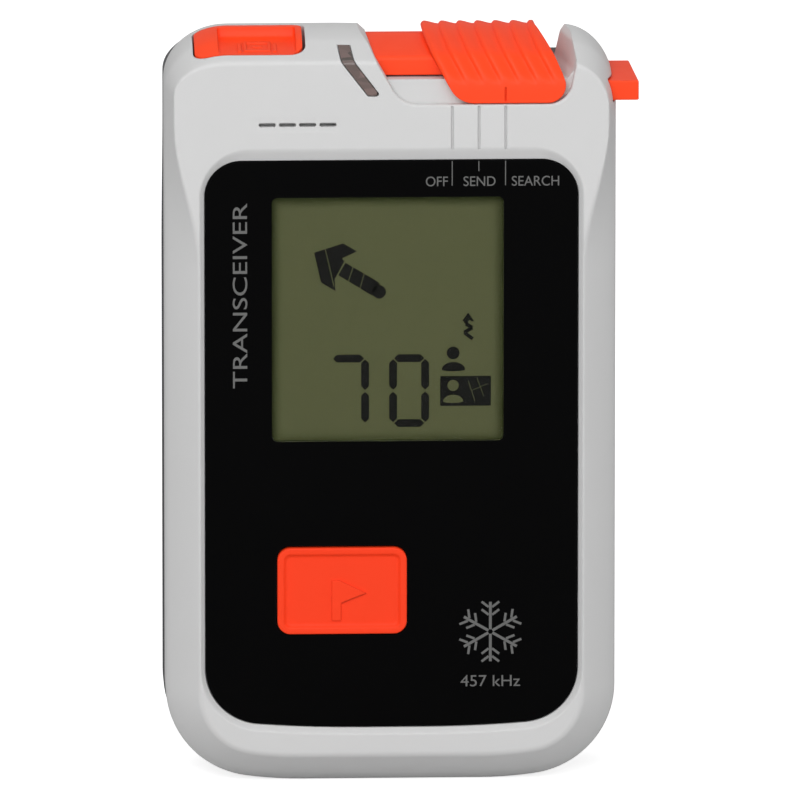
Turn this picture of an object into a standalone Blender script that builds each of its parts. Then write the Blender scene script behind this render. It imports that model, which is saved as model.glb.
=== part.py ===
"""Hand-held avalanche transceiver: two moulded shells, a sealed display and button,
a mode slider across the top, a battery latch and a hinged battery door.

The part stands on its bottom end, with its display towards -Y, +X to the right of a
person who reads it, and its origin at the centre of the bottom facet.
Dimensions are written in millimetres and turned into metres where a mesh is made.
"""

import math

import bmesh
import bpy
from mathutils import Matrix, Vector

MM = 0.001

# Housing
HALF_WIDTH = 33.9
HEIGHT = 115.0
FRONT_Y = -12.2
BACK_Y = 12.5
SPLIT_Y = 2.0  # back rim of the front shell
SPLIT_GAP = 0.3
BACK_OVERHANG = 0.2  # how far the back shell stands out beside the front shell
WALL = 1.8
BOTTOM_FLAT = 13.5  # half width of the flat that the part stands on
BOTTOM_BOW_DEG = 8.0
BOTTOM_CORNER = 14.0
LEFT_CORNER = (9.5, 8.2)  # half axes of the top left corner, along X and Z
RIGHT_CORNER = (7.9, 10.1)
RIGHT_DROP = 0.4  # how much lower the top is at the right
SHOULDER_DEPTH = 6.4  # how far back the front edge rolls over into the side
SHOULDER_INSET = 5.1
SIDE_FULL, SIDE_FADE = 80.0, 22.0  # height where that inset starts to shrink, and over how much
SIDE_SHARE = 0.25  # what is left of it at the top
TOP_RAMP = 0.41  # slope of the facet above the front face
TOP_RAMP_END = -6.6
TOP_INSET = 3.2
BACK_ROUND_START = 7.0
BACK_INSET = 5.0
BACK_TOP = (0.3, 0.24, 0.012)  # step, slope and curve of the back shell's top
CAVITY_FRONT = -9.2  # inner face of the front wall
CAVITY_BACK = 10.7
CAVITY_TOP = 103.2
CAVITY_CORNER = 5.0

# Face plate, lens and display
PLATE_HALF_WIDTH = 28.0
PLATE_LOW, PLATE_HIGH = 9.35, 96.5
PLATE_CORNERS = (8.5, 5.5)  # bottom, top
PLATE_FRONT, PLATE_BACK = -11.3, -10.2
FRAME_BEVEL = (0.65, 0.8, 1.6)  # its width at the sides, the bottom and the top
LENS = (-17.9, 53.45, 16.8, 90.8)  # x and z of the low corner, then of the high corner
PANEL = (-19.3, 52.1, 18.3, 92.3)

# Mark button
BUTTON = (-17.2, 23.8, 2.3, 37.1)
BUTTON_FRONT = -11.9
BUTTON_GAP = 0.25

# Slider
LEAN = 0.57  # slant of the slider recess and its ribs: mm to the left for each mm up
RECESS_FLOOR = 105.15
BAR_LOW, BAR_FRONT, BAR_BACK = 109.1, -9.0, 3.0
GRIP_LEFT, GRIP_RIGHT = 8.3, 26.1  # at the height of the band's upper edge
BAND_TOP = 108.4
RIB_PITCH = 2.67
RIB_HEIGHT = 0.42
GRIP_LEAN, GRIP_NARROWING = 0.37, 2.0  # of its right end
TONGUE = ((19.0, -9.0, 105.0), (37.2, 6.4, 108.0))

# Battery latch
LATCH = (-29.4, -10.1, -13.25, 0.2)
LATCH_AXIS = (-27.6, 111.3)  # x, z of its pin

# Cells, tray and door
CELL_RADIUS, CELL_LENGTH, CELL_PITCH = 5.25, 44.5, 10.6
CELL_AXIS_X, CELL_AXIS_Y = -12.0, 4.6  # of the middle cell
BAY = (-28.4, 53.6, 4.4, 100.4)
TRAY_WALL = 1.2
DOOR_HINGE = (11.2, 50.0)  # y, z
DOOR_THICK = 1.0

for leftover in list(bpy.data.objects):
    bpy.data.objects.remove(leftover, do_unlink=True)

scene = bpy.context.scene
parts = bpy.data.collections.new("avalanche_transceiver")
cutters = bpy.data.collections.new("cutters")
cutters.hide_render = True
scene.collection.children.link(parts)
scene.collection.children.link(cutters)


def material(name, colour, roughness, metallic=0.0):
    made = bpy.data.materials.new(name)
    made.use_nodes = True
    shader = made.node_tree.nodes["Principled BSDF"]
    shader.inputs["Base Color"].default_value = (*colour, 1.0)
    shader.inputs["Roughness"].default_value = roughness
    shader.inputs["Metallic"].default_value = metallic
    made.diffuse_color = (*colour, 1.0)
    return made


LIGHT_PLASTIC = material("light_plastic", (0.62, 0.62, 0.62), 0.5)
DARK_PLASTIC = material("dark_plastic", (0.05, 0.05, 0.055), 0.55)
BLACK_GLOSS = material("black_gloss", (0.003, 0.003, 0.003), 0.2)
ORANGE = material("orange_plastic", (1.0, 0.09, 0.02), 0.45)
CLEAR = material("clear_lens", (0.8, 0.8, 0.8), 0.05)
SMOKE = material("smoked_light_pipe", (0.12, 0.09, 0.08), 0.2)
LCD_GREEN = material("lcd_glass", (0.10, 0.105, 0.055), 0.3)
WHITE_PLASTIC = material("white_plastic", (0.8, 0.8, 0.78), 0.5)
RUBBER = material("rubber", (0.03, 0.03, 0.03), 0.8)
BOARD_GREEN = material("circuit_board", (0.02, 0.14, 0.05), 0.4)
CHIP_BLACK = material("chip_black", (0.02, 0.02, 0.02), 0.6)
SHEET_METAL = material("sheet_metal", (0.6, 0.6, 0.6), 0.35, 1.0)
FERRITE = material("ferrite", (0.04, 0.04, 0.045), 0.7)
COPPER = material("copper_winding", (0.6, 0.25, 0.1), 0.4, 1.0)
STEEL = material("steel", (0.55, 0.55, 0.56), 0.3, 1.0)
CELL_WRAP = material("cell_wrap", (0.05, 0.06, 0.08), 0.4)


def keep(name, mesh, look=None):
    """Links a mesh as a piece when it has a look, and as a cutter when it has none."""
    made = bpy.data.objects.new(name, mesh)
    if look:
        mesh.materials.clear()
        mesh.materials.append(look)
        parts.objects.link(made)
    else:
        made.hide_render = True
        made.display_type = "WIRE"
        cutters.objects.link(made)
    return made


def keep_bmesh(name, bm, look=None, smooth=False):
    bmesh.ops.recalc_face_normals(bm, faces=bm.faces[:])
    mesh = bpy.data.meshes.new(name)
    bm.to_mesh(mesh)
    bm.free()
    if smooth:
        mesh.shade_smooth()
        mesh.set_sharp_from_angle(angle=math.radians(35))
    return keep(name, mesh, look)


def turn_to(axis):
    """Turns local X, Y, Z so that an outline drawn in XY lies across the given axis."""
    if axis == "Y":
        return Matrix.Rotation(math.radians(90), 4, "X")
    if axis == "X":
        return Matrix(((0, 0, 1, 0), (1, 0, 0, 0), (0, 1, 0, 0), (0, 0, 0, 1)))
    return Matrix.Identity(4)


def prism(name, outline, low, high, axis, look=None):
    """A flat outline in mm made solid between two places on an axis.

    The outline's points are (x, z) across Y, (y, z) across X and (x, y) across Z.
    """
    curve = bpy.data.curves.new(name, "CURVE")
    curve.dimensions = "2D"
    curve.fill_mode = "BOTH"
    curve.extrude = (high - low) / 2
    spline = curve.splines.new("POLY")
    spline.points.add(len(outline) - 1)
    for point, (across, up) in zip(spline.points, outline):
        point.co = (across, up, 0, 1)
    spline.use_cyclic_u = True
    flat = bpy.data.objects.new(name + "_outline", curve)
    scene.collection.objects.link(flat)
    graph = bpy.context.evaluated_depsgraph_get()
    mesh = bpy.data.meshes.new_from_object(flat.evaluated_get(graph))
    bpy.data.objects.remove(flat)
    bpy.data.curves.remove(curve)
    middle = (low + high) / 2
    shift = {"X": (middle, 0, 0), "Y": (0, middle, 0), "Z": (0, 0, middle)}[axis]
    mesh.transform(Matrix.Scale(MM, 4) @ Matrix.Translation(shift) @ turn_to(axis))
    mesh.name = name
    bm = bmesh.new()
    bm.from_mesh(mesh)
    bmesh.ops.remove_doubles(bm, verts=bm.verts[:], dist=1e-6)
    bmesh.ops.recalc_face_normals(bm, faces=bm.faces[:])
    bm.to_mesh(mesh)
    bm.free()
    return keep(name, mesh, look)


def block(name, low, high, look=None, rounding=0.0, segments=2):
    """A box between two corners in mm, with its edges rounded if a radius is given."""
    bm = bmesh.new()
    bmesh.ops.create_cube(bm, size=1.0)
    low, high = Vector(low), Vector(high)
    size = high - low
    for vertex in bm.verts:
        vertex.co = Vector((low[i] + (vertex.co[i] + 0.5) * size[i] for i in range(3))) * MM
    if rounding:
        bmesh.ops.bevel(
            bm, geom=bm.edges[:], offset=rounding * MM, segments=segments, affect="EDGES", profile=0.5
        )
    return keep_bmesh(name, bm, look)


def rod(name, start, end, radius, look=None, sides=20):
    """A round bar from one place to another, in mm."""
    start, end = Vector(start), Vector(end)
    bm = bmesh.new()
    bmesh.ops.create_cone(
        bm,
        cap_ends=True,
        segments=sides,
        radius1=radius * MM,
        radius2=radius * MM,
        depth=(end - start).length * MM,
    )
    turn = (end - start).to_track_quat("Z", "Y").to_matrix().to_4x4()
    bmesh.ops.transform(bm, matrix=Matrix.Translation((start + end) / 2 * MM) @ turn, verts=bm.verts[:])
    return keep_bmesh(name, bm, look, smooth=True)


def turned(name, profile, base, direction, look=None, sides=20, closed=False):
    """A profile of (radius, height) in mm, from top to bottom, turned about an axis through base."""
    mesh = bpy.data.meshes.new(name)
    points = [(radius * MM, 0, height * MM) for radius, height in profile]
    edges = [(i, i + 1) for i in range(len(points) - 1)]
    if closed:
        edges.append((len(points) - 1, 0))
    mesh.from_pydata(points, edges, [])
    made = keep(name, mesh, look)
    screw = made.modifiers.new("turn", "SCREW")
    screw.steps = screw.render_steps = sides
    screw.use_merge_vertices = True
    screw.merge_threshold = 1e-6
    made.location = Vector(base) * MM
    made.rotation_euler = Vector(direction).to_track_quat("Z", "Y").to_euler()
    return made


def ring(name, centre, axis, inner, outer, low, high, look=None, sides=28):
    """A plain sleeve round an axis: radii and both ends in mm."""
    profile = [(inner, high), (outer, high), (outer, low), (inner, low)]
    return turned(name, profile, centre, axis, look, sides, closed=True)


def wire(name, points, radius, look):
    """A round wire through the given points in mm."""
    curve = bpy.data.curves.new(name, "CURVE")
    curve.dimensions = "3D"
    curve.bevel_depth = radius * MM
    curve.bevel_resolution = 1
    curve.use_fill_caps = True
    spline = curve.splines.new("POLY")
    spline.points.add(len(points) - 1)
    for point, place in zip(spline.points, points):
        point.co = (place[0] * MM, place[1] * MM, place[2] * MM, 1)
    curve.materials.append(look)
    made = bpy.data.objects.new(name, curve)
    parts.objects.link(made)
    return made


def boolean(target, other, operation="DIFFERENCE"):
    change = target.modifiers.new(other.name, "BOOLEAN")
    change.operation = operation
    change.object = other
    change.solver = "EXACT"


def cut(target, *tools):
    for tool in tools:
        boolean(target, tool)


def join(target, *tools):
    for tool in tools:
        boolean(target, tool, "UNION")


def within(target, *tools):
    for tool in tools:
        boolean(target, tool, "INTERSECT")


def ride(name, place, *pieces):
    """Parents pieces to an empty that stands on their joint's axis."""
    bpy.context.view_layer.update()
    axis = bpy.data.objects.new(name, None)
    axis.empty_display_size = 0.005
    axis.location = Vector(place) * MM
    parts.objects.link(axis)
    for piece in pieces:
        piece.parent = axis
        piece.matrix_parent_inverse = Matrix.Translation(-axis.location)


def arc(centre, radii, start_deg, end_deg, steps):
    """Points along an ellipse's arc, both ends included."""
    points = []
    for step in range(steps + 1):
        angle = math.radians(start_deg + (end_deg - start_deg) * step / steps)
        points.append((centre[0] + radii[0] * math.cos(angle), centre[1] + radii[1] * math.sin(angle)))
    return points


def rounded(corners, steps=5):
    """A closed outline from (across, up, radius) corners, in order round the shape."""
    outline = []
    count = len(corners)
    for i, (across, up, radius) in enumerate(corners):
        here = Vector((across, up))
        before = (Vector(corners[i - 1][:2]) - here).normalized()
        after = (Vector(corners[(i + 1) % count][:2]) - here).normalized()
        if not radius:
            outline.append(tuple(here))
            continue
        half = before.angle(after) / 2
        reach = radius / math.tan(half)
        middle = here + (before + after).normalized() * radius / math.sin(half)
        first = here + before * reach - middle
        last = here + after * reach - middle
        sweep = first.angle_signed(last)
        for step in range(steps + 1):
            turn = Matrix.Rotation(-sweep * step / steps, 2)
            outline.append(tuple(middle + turn @ first))
    return outline


def lower_outline(half_width, low, corner, flat, bow_deg, steps=7):
    """Right half of a bottom edge: a flat, a slow bow and a corner that ends on the side."""
    sine, cosine = math.sin(math.radians(bow_deg)), math.cos(math.radians(bow_deg))
    bow = (half_width - flat - corner * (1 - sine)) / sine
    corner_centre = (half_width - corner, low + bow - (bow - corner) * cosine)
    outline = [(flat, low)]
    outline += arc((flat, low + bow), (bow, bow), -90, -90 + bow_deg, 2)[1:]
    outline += arc(corner_centre, (corner, corner), -90 + bow_deg, 0, steps)[1:]
    return outline


def mirrored(right_side):
    return right_side + [(-x, z) for x, z in reversed(right_side)]


def bowed_outline(half_width, low, high, corners, flat, bow_deg, steps=7):
    """A symmetric outline in x and z, with a bowed bottom and two equal upper corners."""
    lower_corner, upper_corner = corners
    lower = lower_outline(half_width, low, lower_corner, flat, bow_deg, steps)
    top_centre = (half_width - upper_corner, high - upper_corner)
    return mirrored(lower + arc(top_centre, (upper_corner, upper_corner), 0, 90, steps))


def smooth_step(value):
    value = min(max(value, 0.0), 1.0)
    return value * value * (3 - 2 * value)


def body_outline(inset, top_inset, half_width=HALF_WIDTH):
    """The housing's outline at one depth: sides and bottom moved in by inset, the top by top_inset.

    Towards the top, the side's inset shrinks, because the front face reaches further out
    there, and a half_width beyond the common one comes back to it.
    """

    def side_x(z):
        fade = smooth_step((z - SIDE_FULL) / SIDE_FADE)
        return half_width + (HALF_WIDTH - half_width) * fade - inset * (1 - (1 - SIDE_SHARE) * fade)

    lower = lower_outline(half_width - inset, inset, BOTTOM_CORNER - inset, BOTTOM_FLAT, BOTTOM_BOW_DEG)
    halves = []
    for (across, height), drop in ((RIGHT_CORNER, RIGHT_DROP), (LEFT_CORNER, 0.0)):
        start_z = HEIGHT - drop - height
        side = [(side_x(z), z) for z in (SIDE_FULL, SIDE_FULL + 7, SIDE_FULL + 14)]
        centre_x = HALF_WIDTH - across
        corner = arc((centre_x, start_z), (side_x(start_z) - centre_x, height - top_inset), 0, 90, 8)
        halves.append(lower + side + corner)
    right_half, left_half = halves
    return right_half + [(-x, z) for x, z in reversed(left_half)]


def side_inset(y):
    """How far the sides and the bottom stand in from the widest section, at depth y."""
    if y < FRONT_Y + SHOULDER_DEPTH:
        return SHOULDER_INSET * (1 - (y - FRONT_Y) / SHOULDER_DEPTH) ** 1.25
    if y > BACK_ROUND_START:
        share = (y - BACK_ROUND_START) / (BACK_Y - BACK_ROUND_START)
        return BACK_INSET * (1 - math.sqrt(max(1 - share * share, 0.0)))
    return 0.0


def top_inset(y):
    """How far the top stands below its highest line, at depth y."""
    if y < TOP_RAMP_END:
        return TOP_INSET - TOP_RAMP * (y - FRONT_Y)
    if y < 0:
        ramp_end = TOP_INSET - TOP_RAMP * (TOP_RAMP_END - FRONT_Y)
        return ramp_end * (y / TOP_RAMP_END) ** 2
    if y > SPLIT_Y:
        step, slope, curve = BACK_TOP
        behind = y - SPLIT_Y - SPLIT_GAP
        return step + slope * behind + curve * behind * behind
    return 0.0


def loft(name, sections, look=None):
    """A closed solid through (y, outline) sections in mm that all have the same number of points."""
    bm = bmesh.new()
    rings = []
    for y, outline in sections:
        rings.append([bm.verts.new((x * MM, y * MM, z * MM)) for x, z in outline])
    for near, far in zip(rings, rings[1:]):
        for i in range(len(near)):
            j = (i + 1) % len(near)
            bm.faces.new((near[i], near[j], far[j], far[i]))
    bm.faces.new(rings[0])
    bm.faces.new(rings[-1])
    return keep_bmesh(name, bm, look, smooth=True)


def body_loft(name, depths, half_width=HALF_WIDTH, look=None):
    sections = [(y, body_outline(side_inset(y), top_inset(y), half_width)) for y in depths]
    return loft(name, sections, look)


def cavity_outline(y, gap=0.0):
    inset = side_inset(y) + WALL + gap
    corners = (BOTTOM_CORNER - inset, CAVITY_CORNER - gap)
    half, high = HALF_WIDTH - inset, CAVITY_TOP - gap
    return bowed_outline(half, inset, high, corners, BOTTOM_FLAT, BOTTOM_BOW_DEG, 5)


def slanted(x, z, lean=LEAN):
    """Where a line that leans to the left stands at height z, if it stands at x at the band's top."""
    return x - lean * (z - BAND_TOP)


# Housing shells
FRONT_DEPTHS = (-12.2, -11.95, -11.3, -10.4, -9.3, -8.0, -6.6, -5.0, -2.5, 0.0, SPLIT_Y)
BACK_DEPTHS = (SPLIT_Y + SPLIT_GAP, 5.0, 7.0, 8.6, 10.0, 11.2, 12.0, BACK_Y)
PLATE_SHAPE = (PLATE_CORNERS, 5.0, 4.5)  # corners, flat and bow of the face plate


def plate_outline(margin):
    corners, flat, bow = PLATE_SHAPE
    corners = tuple(corner + margin for corner in corners)
    return bowed_outline(
        PLATE_HALF_WIDTH + margin, PLATE_LOW - margin, PLATE_HIGH + margin, corners, flat, bow
    )


def grown(area, margin, radius):
    """A rounded rectangle in x and z round an area, for prism."""
    x0, z0, x1, z1 = area
    return rounded(
        [
            (x0 - margin, z0 - margin, radius),
            (x1 + margin, z0 - margin, radius),
            (x1 + margin, z1 + margin, radius),
            (x0 - margin, z1 + margin, radius),
        ],
        4,
    )


RECESS_LEFT, RECESS_RIGHT = -0.37, 26.9  # at the height of the band's upper edge
RECESS_NARROWING = 2.4  # how much the right wall comes in towards the back


def recess_outline(floor, left_radius, right_radius, narrowing=0.0, grown=0.0):
    """The slider recess seen from the front, open at the top."""
    high = HEIGHT + 3
    left, right = RECESS_LEFT - grown, RECESS_RIGHT - narrowing + grown
    return rounded(
        [
            (slanted(left, high), high, 0),
            (slanted(left, floor), floor, left_radius),
            (right - 0.4, floor, right_radius),
            (right + 0.5, HEIGHT - 5, 0),
            (right + 1.9, high, 0),
        ]
    )


front_shell = body_loft("front_shell", FRONT_DEPTHS, look=LIGHT_PLASTIC)
back_shell = body_loft("back_shell", BACK_DEPTHS, HALF_WIDTH + BACK_OVERHANG, DARK_PLASTIC)

front_levels = (CAVITY_FRONT, -7.6, -5.5, SPLIT_Y + 1)
back_levels = (SPLIT_Y - 1, 7.0, 8.8, CAVITY_BACK)
front_cavity = loft("front_cavity", [(y, cavity_outline(y)) for y in front_levels])
back_cavity = loft("back_cavity", [(y, cavity_outline(y)) for y in back_levels])
cut(front_shell, front_cavity)
cut(back_shell, back_cavity)

# Bosses for the housing screws, which come in from the back
SCREWS = ((-27.0, 14.0), (27.0, 14.0), (-27.0, 42.0), (11.0, 98.0))
for number, (x, z) in enumerate(SCREWS, 1):
    post = rod(f"front_post_{number}", (x, CAVITY_FRONT - 0.6, z), (x, SPLIT_Y, z), 2.6, sides=16)
    socket_end = (x, CAVITY_BACK + 0.6, z)
    socket = rod(f"back_post_{number}", (x, SPLIT_Y + SPLIT_GAP, z), socket_end, 3.2, sides=16)
    join(front_shell, post)
    join(back_shell, socket)
for number, (x, z) in enumerate(SCREWS, 1):
    pilot = rod(f"pilot_{number}", (x, -5.0, z), (x, SPLIT_Y + 1, z), 1.1, sides=12)
    clearance = rod(f"clearance_{number}", (x, SPLIT_Y - 1, z), (x, BACK_Y + 1, z), 1.3, sides=12)
    counterbore = rod(f"counterbore_{number}", (x, 10.7, z), (x, BACK_Y + 1, z), 2.5, sides=16)
    cut(front_shell, pilot)
    cut(back_shell, clearance, counterbore)
    shank = rod(f"housing_screw_{number}", (x, -4.6, z), (x, 11.4, z), 1.0, STEEL, sides=12)
    head = rod(f"screw_head_{number}", (x, 10.9, z), (x, 12.2, z), 2.2, sides=16)
    slot = block(f"screw_drive_{number}", (x - 1.2, 11.7, z - 0.3), (x + 1.2, 13.0, z + 0.3))
    join(shank, head)
    cut(shank, slot)

# Window: a bevelled frame, a seat for the face plate, and openings through the wall
bevel_depth = PLATE_FRONT - FRONT_Y


def frame_outline(share):
    """The frame's bevel where it has reached a share of its width."""
    side, bottom, top = (width * share + 0.12 for width in FRAME_BEVEL)
    corners = (PLATE_CORNERS[0] + bottom, PLATE_CORNERS[1] + top)
    flat, bow = PLATE_SHAPE[1:]
    return bowed_outline(PLATE_HALF_WIDTH + side, PLATE_LOW - bottom, PLATE_HIGH + top, corners, flat, bow)


window_bevel = loft(
    "window_bevel",
    [
        (FRONT_Y - bevel_depth, frame_outline(2)),
        (PLATE_FRONT, frame_outline(0)),
        (PLATE_BACK + 0.12, plate_outline(0.12)),
    ],
)
lcd_opening = prism("lcd_opening", grown(PANEL, 0.3, 0.8), PLATE_BACK - 0.5, CAVITY_FRONT + 0.5, "Y")
button_area = grown(BUTTON, BUTTON_GAP, 2.2)
button_opening = prism("button_opening", button_area, PLATE_BACK - 0.5, CAVITY_FRONT + 0.5, "Y")
cut(front_shell, window_bevel, lcd_opening, button_opening)

face_plate = prism("face_plate", plate_outline(0.0), PLATE_FRONT, PLATE_BACK, "Y", BLACK_GLOSS)
lens_hole = prism("lens_hole", grown(LENS, 0.1, 0.9), PLATE_FRONT - 1, PLATE_BACK + 1, "Y")
button_hole = prism("button_hole", button_area, PLATE_FRONT - 1, PLATE_BACK + 1, "Y")
cut(face_plate, lens_hole, button_hole)
prism("display_lens", grown(LENS, 0.0, 0.8), PLATE_FRONT, PLATE_BACK, "Y", CLEAR)

# Display stack behind the lens
block("lcd_panel", (PANEL[0], -10.0, PANEL[1]), (PANEL[2], -8.4, PANEL[3]), LCD_GREEN)
block("lcd_backlight", (PANEL[0], -8.1, PANEL[1] + 3), (PANEL[2], -6.4, PANEL[3]), WHITE_PLASTIC)
block("zebra_strip", (PANEL[0] + 2, -8.1, PANEL[1] + 0.4), (PANEL[2] - 2, -5.3, PANEL[1] + 2.4), RUBBER)
lcd_frame = block("lcd_frame", (-21.5, -8.9, 50.0), (20.5, -5.4, 93.8), WHITE_PLASTIC)
frame_hole = block(
    "frame_hole", (PANEL[0] - 0.3, -10.0, PANEL[1] - 0.3), (PANEL[2] + 0.3, -5.0, PANEL[3] + 0.3)
)
cut(lcd_frame, frame_hole)

# Gasket between the shells, just inside their rims
gasket_outer = cavity_outline(2.0, 0.2)
gasket_inner = cavity_outline(2.0, 1.2)
housing_gasket = prism("housing_gasket", gasket_outer, 1.2, 3.2, "Y", RUBBER)
cut(housing_gasket, prism("gasket_inside", gasket_inner, 0.0, 5.0, "Y"))

# Main board and what is soldered to it
board_outline = bowed_outline(31.0, 2.9, 102.4, (11.0, 4.0), BOTTOM_FLAT, BOTTOM_BOW_DEG, 4)
main_board = prism("main_board", board_outline, -5.0, -3.8, "Y", BOARD_GREEN)
for number, (x, z) in enumerate(SCREWS, 1):
    cut(main_board, rod(f"board_hole_{number}", (x, -6.0, z), (x, -3.0, z), 2.9, sides=16))
block("rf_shield_can", (-24.0, -3.6, 17.0), (-2.0, -1.0, 37.0), SHEET_METAL, 0.4)
block("processor_chip", (6.0, -3.6, 32.0), (17.0, -2.4, 43.0), CHIP_BLACK, 0.2)
block("slide_sensor_board", (4.0, -3.5, 101.4), (28.0, 0.9, 102.4), BOARD_GREEN)

# Receiving antennas: a long one, a cross one and a flat one for depth
long_x, long_y = 23.8, 5.0
rod("long_antenna_core", (long_x, long_y, 20.0), (long_x, long_y, 92.0), 3.6, FERRITE)
ring("long_antenna_coil", (long_x, long_y, 0), (0, 0, 1), 3.75, 5.3, 32.0, 80.0, COPPER)
rod("cross_antenna_core", (-18.0, 1.6, 12.0), (16.0, 1.6, 12.0), 3.2, FERRITE)
ring("cross_antenna_coil", (0, 1.6, 12.0), (1, 0, 0), 3.35, 4.6, -11.0, 9.0, COPPER)
rod("depth_antenna_core", (-9.0, 2.0, 33.0), (-9.0, 8.5, 33.0), 6.0, FERRITE)
ring("depth_antenna_coil", (-9.0, 0.0, 33.0), (0, 1, 0), 6.15, 10.5, 3.0, 7.5, COPPER)

# Speaker behind its slots, and the vibration motor
SPEAKER_SLOTS = (-18.65, -15.6, -12.6, -9.55)
SLOT_Z, SLOT_HALF = 102.2, (1.275, 0.29)
for number, x in enumerate(SPEAKER_SLOTS, 1):
    area = (x - SLOT_HALF[0], SLOT_Z - SLOT_HALF[1], x + SLOT_HALF[0], SLOT_Z + SLOT_HALF[1])
    opening = prism(f"speaker_slot_{number}", grown(area, 0, 0.28), FRONT_Y - 1, CAVITY_FRONT + 0.6, "Y")
    cut(front_shell, opening)
mesh_seat = block("mesh_seat", (-21.4, -10.6, 100.6), (-6.8, CAVITY_FRONT + 0.6, 103.0))
cut(front_shell, mesh_seat)
block("speaker_mesh", (-21.1, -10.4, 100.9), (-7.1, -10.0, 102.7), CHIP_BLACK)
block("speaker_driver", (-22.0, -8.9, 94.3), (-6.0, -5.9, 102.7), CHIP_BLACK, 0.8)
rod("vibration_motor", (21.0, -8.8, 98.2), (21.0, -6.2, 98.2), 4.0, STEEL, sides=28)

# Signal light: a slanted light pipe flush with the front face and the facet above it
pipe_front = [
    (-3.5, 106.6),
    (-1.8, 106.6),
    (-5.7, 111.8),
    (-6.9, 116.0),
    (-8.6, 116.0),
    (-7.5, 111.8),
]
pipe_depth = [
    (-14.0, 105.0),
    (-10.9, 105.0),
    (-10.9, 111.4),
    (-9.2, 112.15),
    (-7.9, 112.8),
    (-7.9, 117.0),
    (-14.0, 117.0),
]


def widened(outline, margin):
    """The outline with every side moved outwards by margin."""
    area = sum(a[0] * b[1] - b[0] * a[1] for a, b in zip(outline, outline[1:] + outline[:1]))
    outwards = math.copysign(margin, area)
    moved = []
    for i, point in enumerate(outline):
        here = Vector(point)
        along = (here - Vector(outline[i - 1])).normalized()
        onward = (Vector(outline[(i + 1) % len(outline)]) - here).normalized()
        first, second = Vector((along.y, -along.x)), Vector((onward.y, -onward.x))
        moved.append(tuple(here + (first + second) * outwards / (1 + first.dot(second))))
    return moved


light_pipe = body_loft("led_light_pipe", FRONT_DEPTHS, look=SMOKE)
pipe_sides = prism("pipe_front", pipe_front, -14.0, -6.0, "Y")
within(light_pipe, pipe_sides, prism("pipe_depth", pipe_depth, -10, 0, "X"))
join(light_pipe, block("pipe_stem", (-3.2, -11.3, 106.9), (-2.2, -7.0, 107.8)))
pipe_slot = prism("pipe_slot", widened(pipe_front, 0.12), -14.5, -6.0, "Y")
within(pipe_slot, prism("pipe_slot_depth", widened(pipe_depth, 0.12), -11, 1, "X"))
led_pocket = block("led_pocket", (-6.5, CAVITY_FRONT, 102.0), (0.5, -5.0, 108.3))
stem_hole = block("stem_hole", (-3.5, -11.5, 106.6), (-1.9, -8.5, 108.1))
cut(front_shell, pipe_slot, led_pocket, stem_hole)
block("status_led", (-4.0, -6.6, 106.2), (-1.4, -5.6, 108.1), WHITE_PLASTIC, 0.2)

# Mark button, its seal and its switch
button_outline = grown(BUTTON, 0.0, 2.0)
mark_button = prism("mark_button", button_outline, BUTTON_FRONT, -9.9, "Y", ORANGE)
button_dish = prism("button_dish", grown(BUTTON, -1.3, 1.4), BUTTON_FRONT - 1, BUTTON_FRONT + 0.5, "Y")
button_x, button_z = (BUTTON[0] + BUTTON[2]) / 2, (BUTTON[1] + BUTTON[3]) / 2
cut(mark_button, button_dish)
flag_pole = block("flag_pole", (-9.0, -11.7, 25.8), (-7.6, -11.0, 32.0))
flag_cloth = prism("flag_cloth", [(-7.7, 28.6), (-4.2, 30.0), (-7.7, 32.0)], -11.7, -11.0, "Y")
button_stem = rod("button_stem", (button_x, -10.2, button_z), (button_x, -8.0, button_z), 1.5)
join(mark_button, flag_pole, flag_cloth, button_stem)
button_seal = prism("button_seal", grown(BUTTON, 1.6, 2.4), -8.9, -8.2, "Y", RUBBER)
cut(button_seal, rod("seal_hole", (button_x, -10, button_z), (button_x, -7, button_z), 1.9))
switch_low, switch_high = (button_x - 3, -7.0, button_z - 3), (button_x + 3, -5.2, button_z + 3)
block("button_switch", switch_low, switch_high, CHIP_BLACK, 0.2)

# Slider: a bar that runs in a channel, a ribbed grip over it, and a tongue out of the right side
bar_section = [
    (BAR_FRONT, BAR_LOW),
    (BAR_FRONT, 111.6),
    (-8.4, 112.0),
    (-4.5, 112.9),
    (-1.0, 113.45),
    (1.5, 113.6),
    (BAR_BACK, 113.4),
    (BAR_BACK, BAR_LOW),
]
channel_section = [
    (BAR_FRONT - 0.3, BAR_LOW - 0.3),
    (BAR_FRONT - 0.3, 111.8),
    (-8.5, 112.25),
    (-4.6, 113.15),
    (-1.0, 113.75),
    (1.5, 113.9),
    (BAR_BACK + 0.3, 113.7),
    (BAR_BACK + 0.3, BAR_LOW - 0.3),
]


def grip_outline(narrowing):
    """The grip seen from the front: leaning sides, and a lower edge with rounded corners."""
    high, low = HEIGHT + 1, RECESS_FLOOR + 0.15
    right = GRIP_RIGHT - narrowing
    return rounded(
        [
            (slanted(GRIP_LEFT, high), high, 0),
            (slanted(GRIP_LEFT, low), low, 4.0),
            (right + 0.25, low, 2.7),
            (right, BAND_TOP, 0),
            (slanted(right, high, GRIP_LEAN), high, 0),
        ],
        6,
    )


# Section of the grip across X, and how much each point is raised on a rib
grip_section = [
    (-11.0, RECESS_FLOOR, 0.0),
    (-12.1, RECESS_FLOOR, 0.0),
    (-12.1, BAND_TOP, 0.0),
    (-11.3, 109.45, 1.0),
    (-9.75, 111.85, 1.0),
    (-8.6, 112.55, 1.0),
    (-5.0, 113.65, 1.0),
    (-1.5, 114.35, 1.0),
    (2.0, 114.55, 1.0),
    (5.5, 114.0, 1.0),
    (8.3, 112.4, 1.0),
    (9.6, 110.6, 0.4),
    (9.8, 109.3, 0.0),
    (-11.0, 109.3, 0.0),
]


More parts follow.
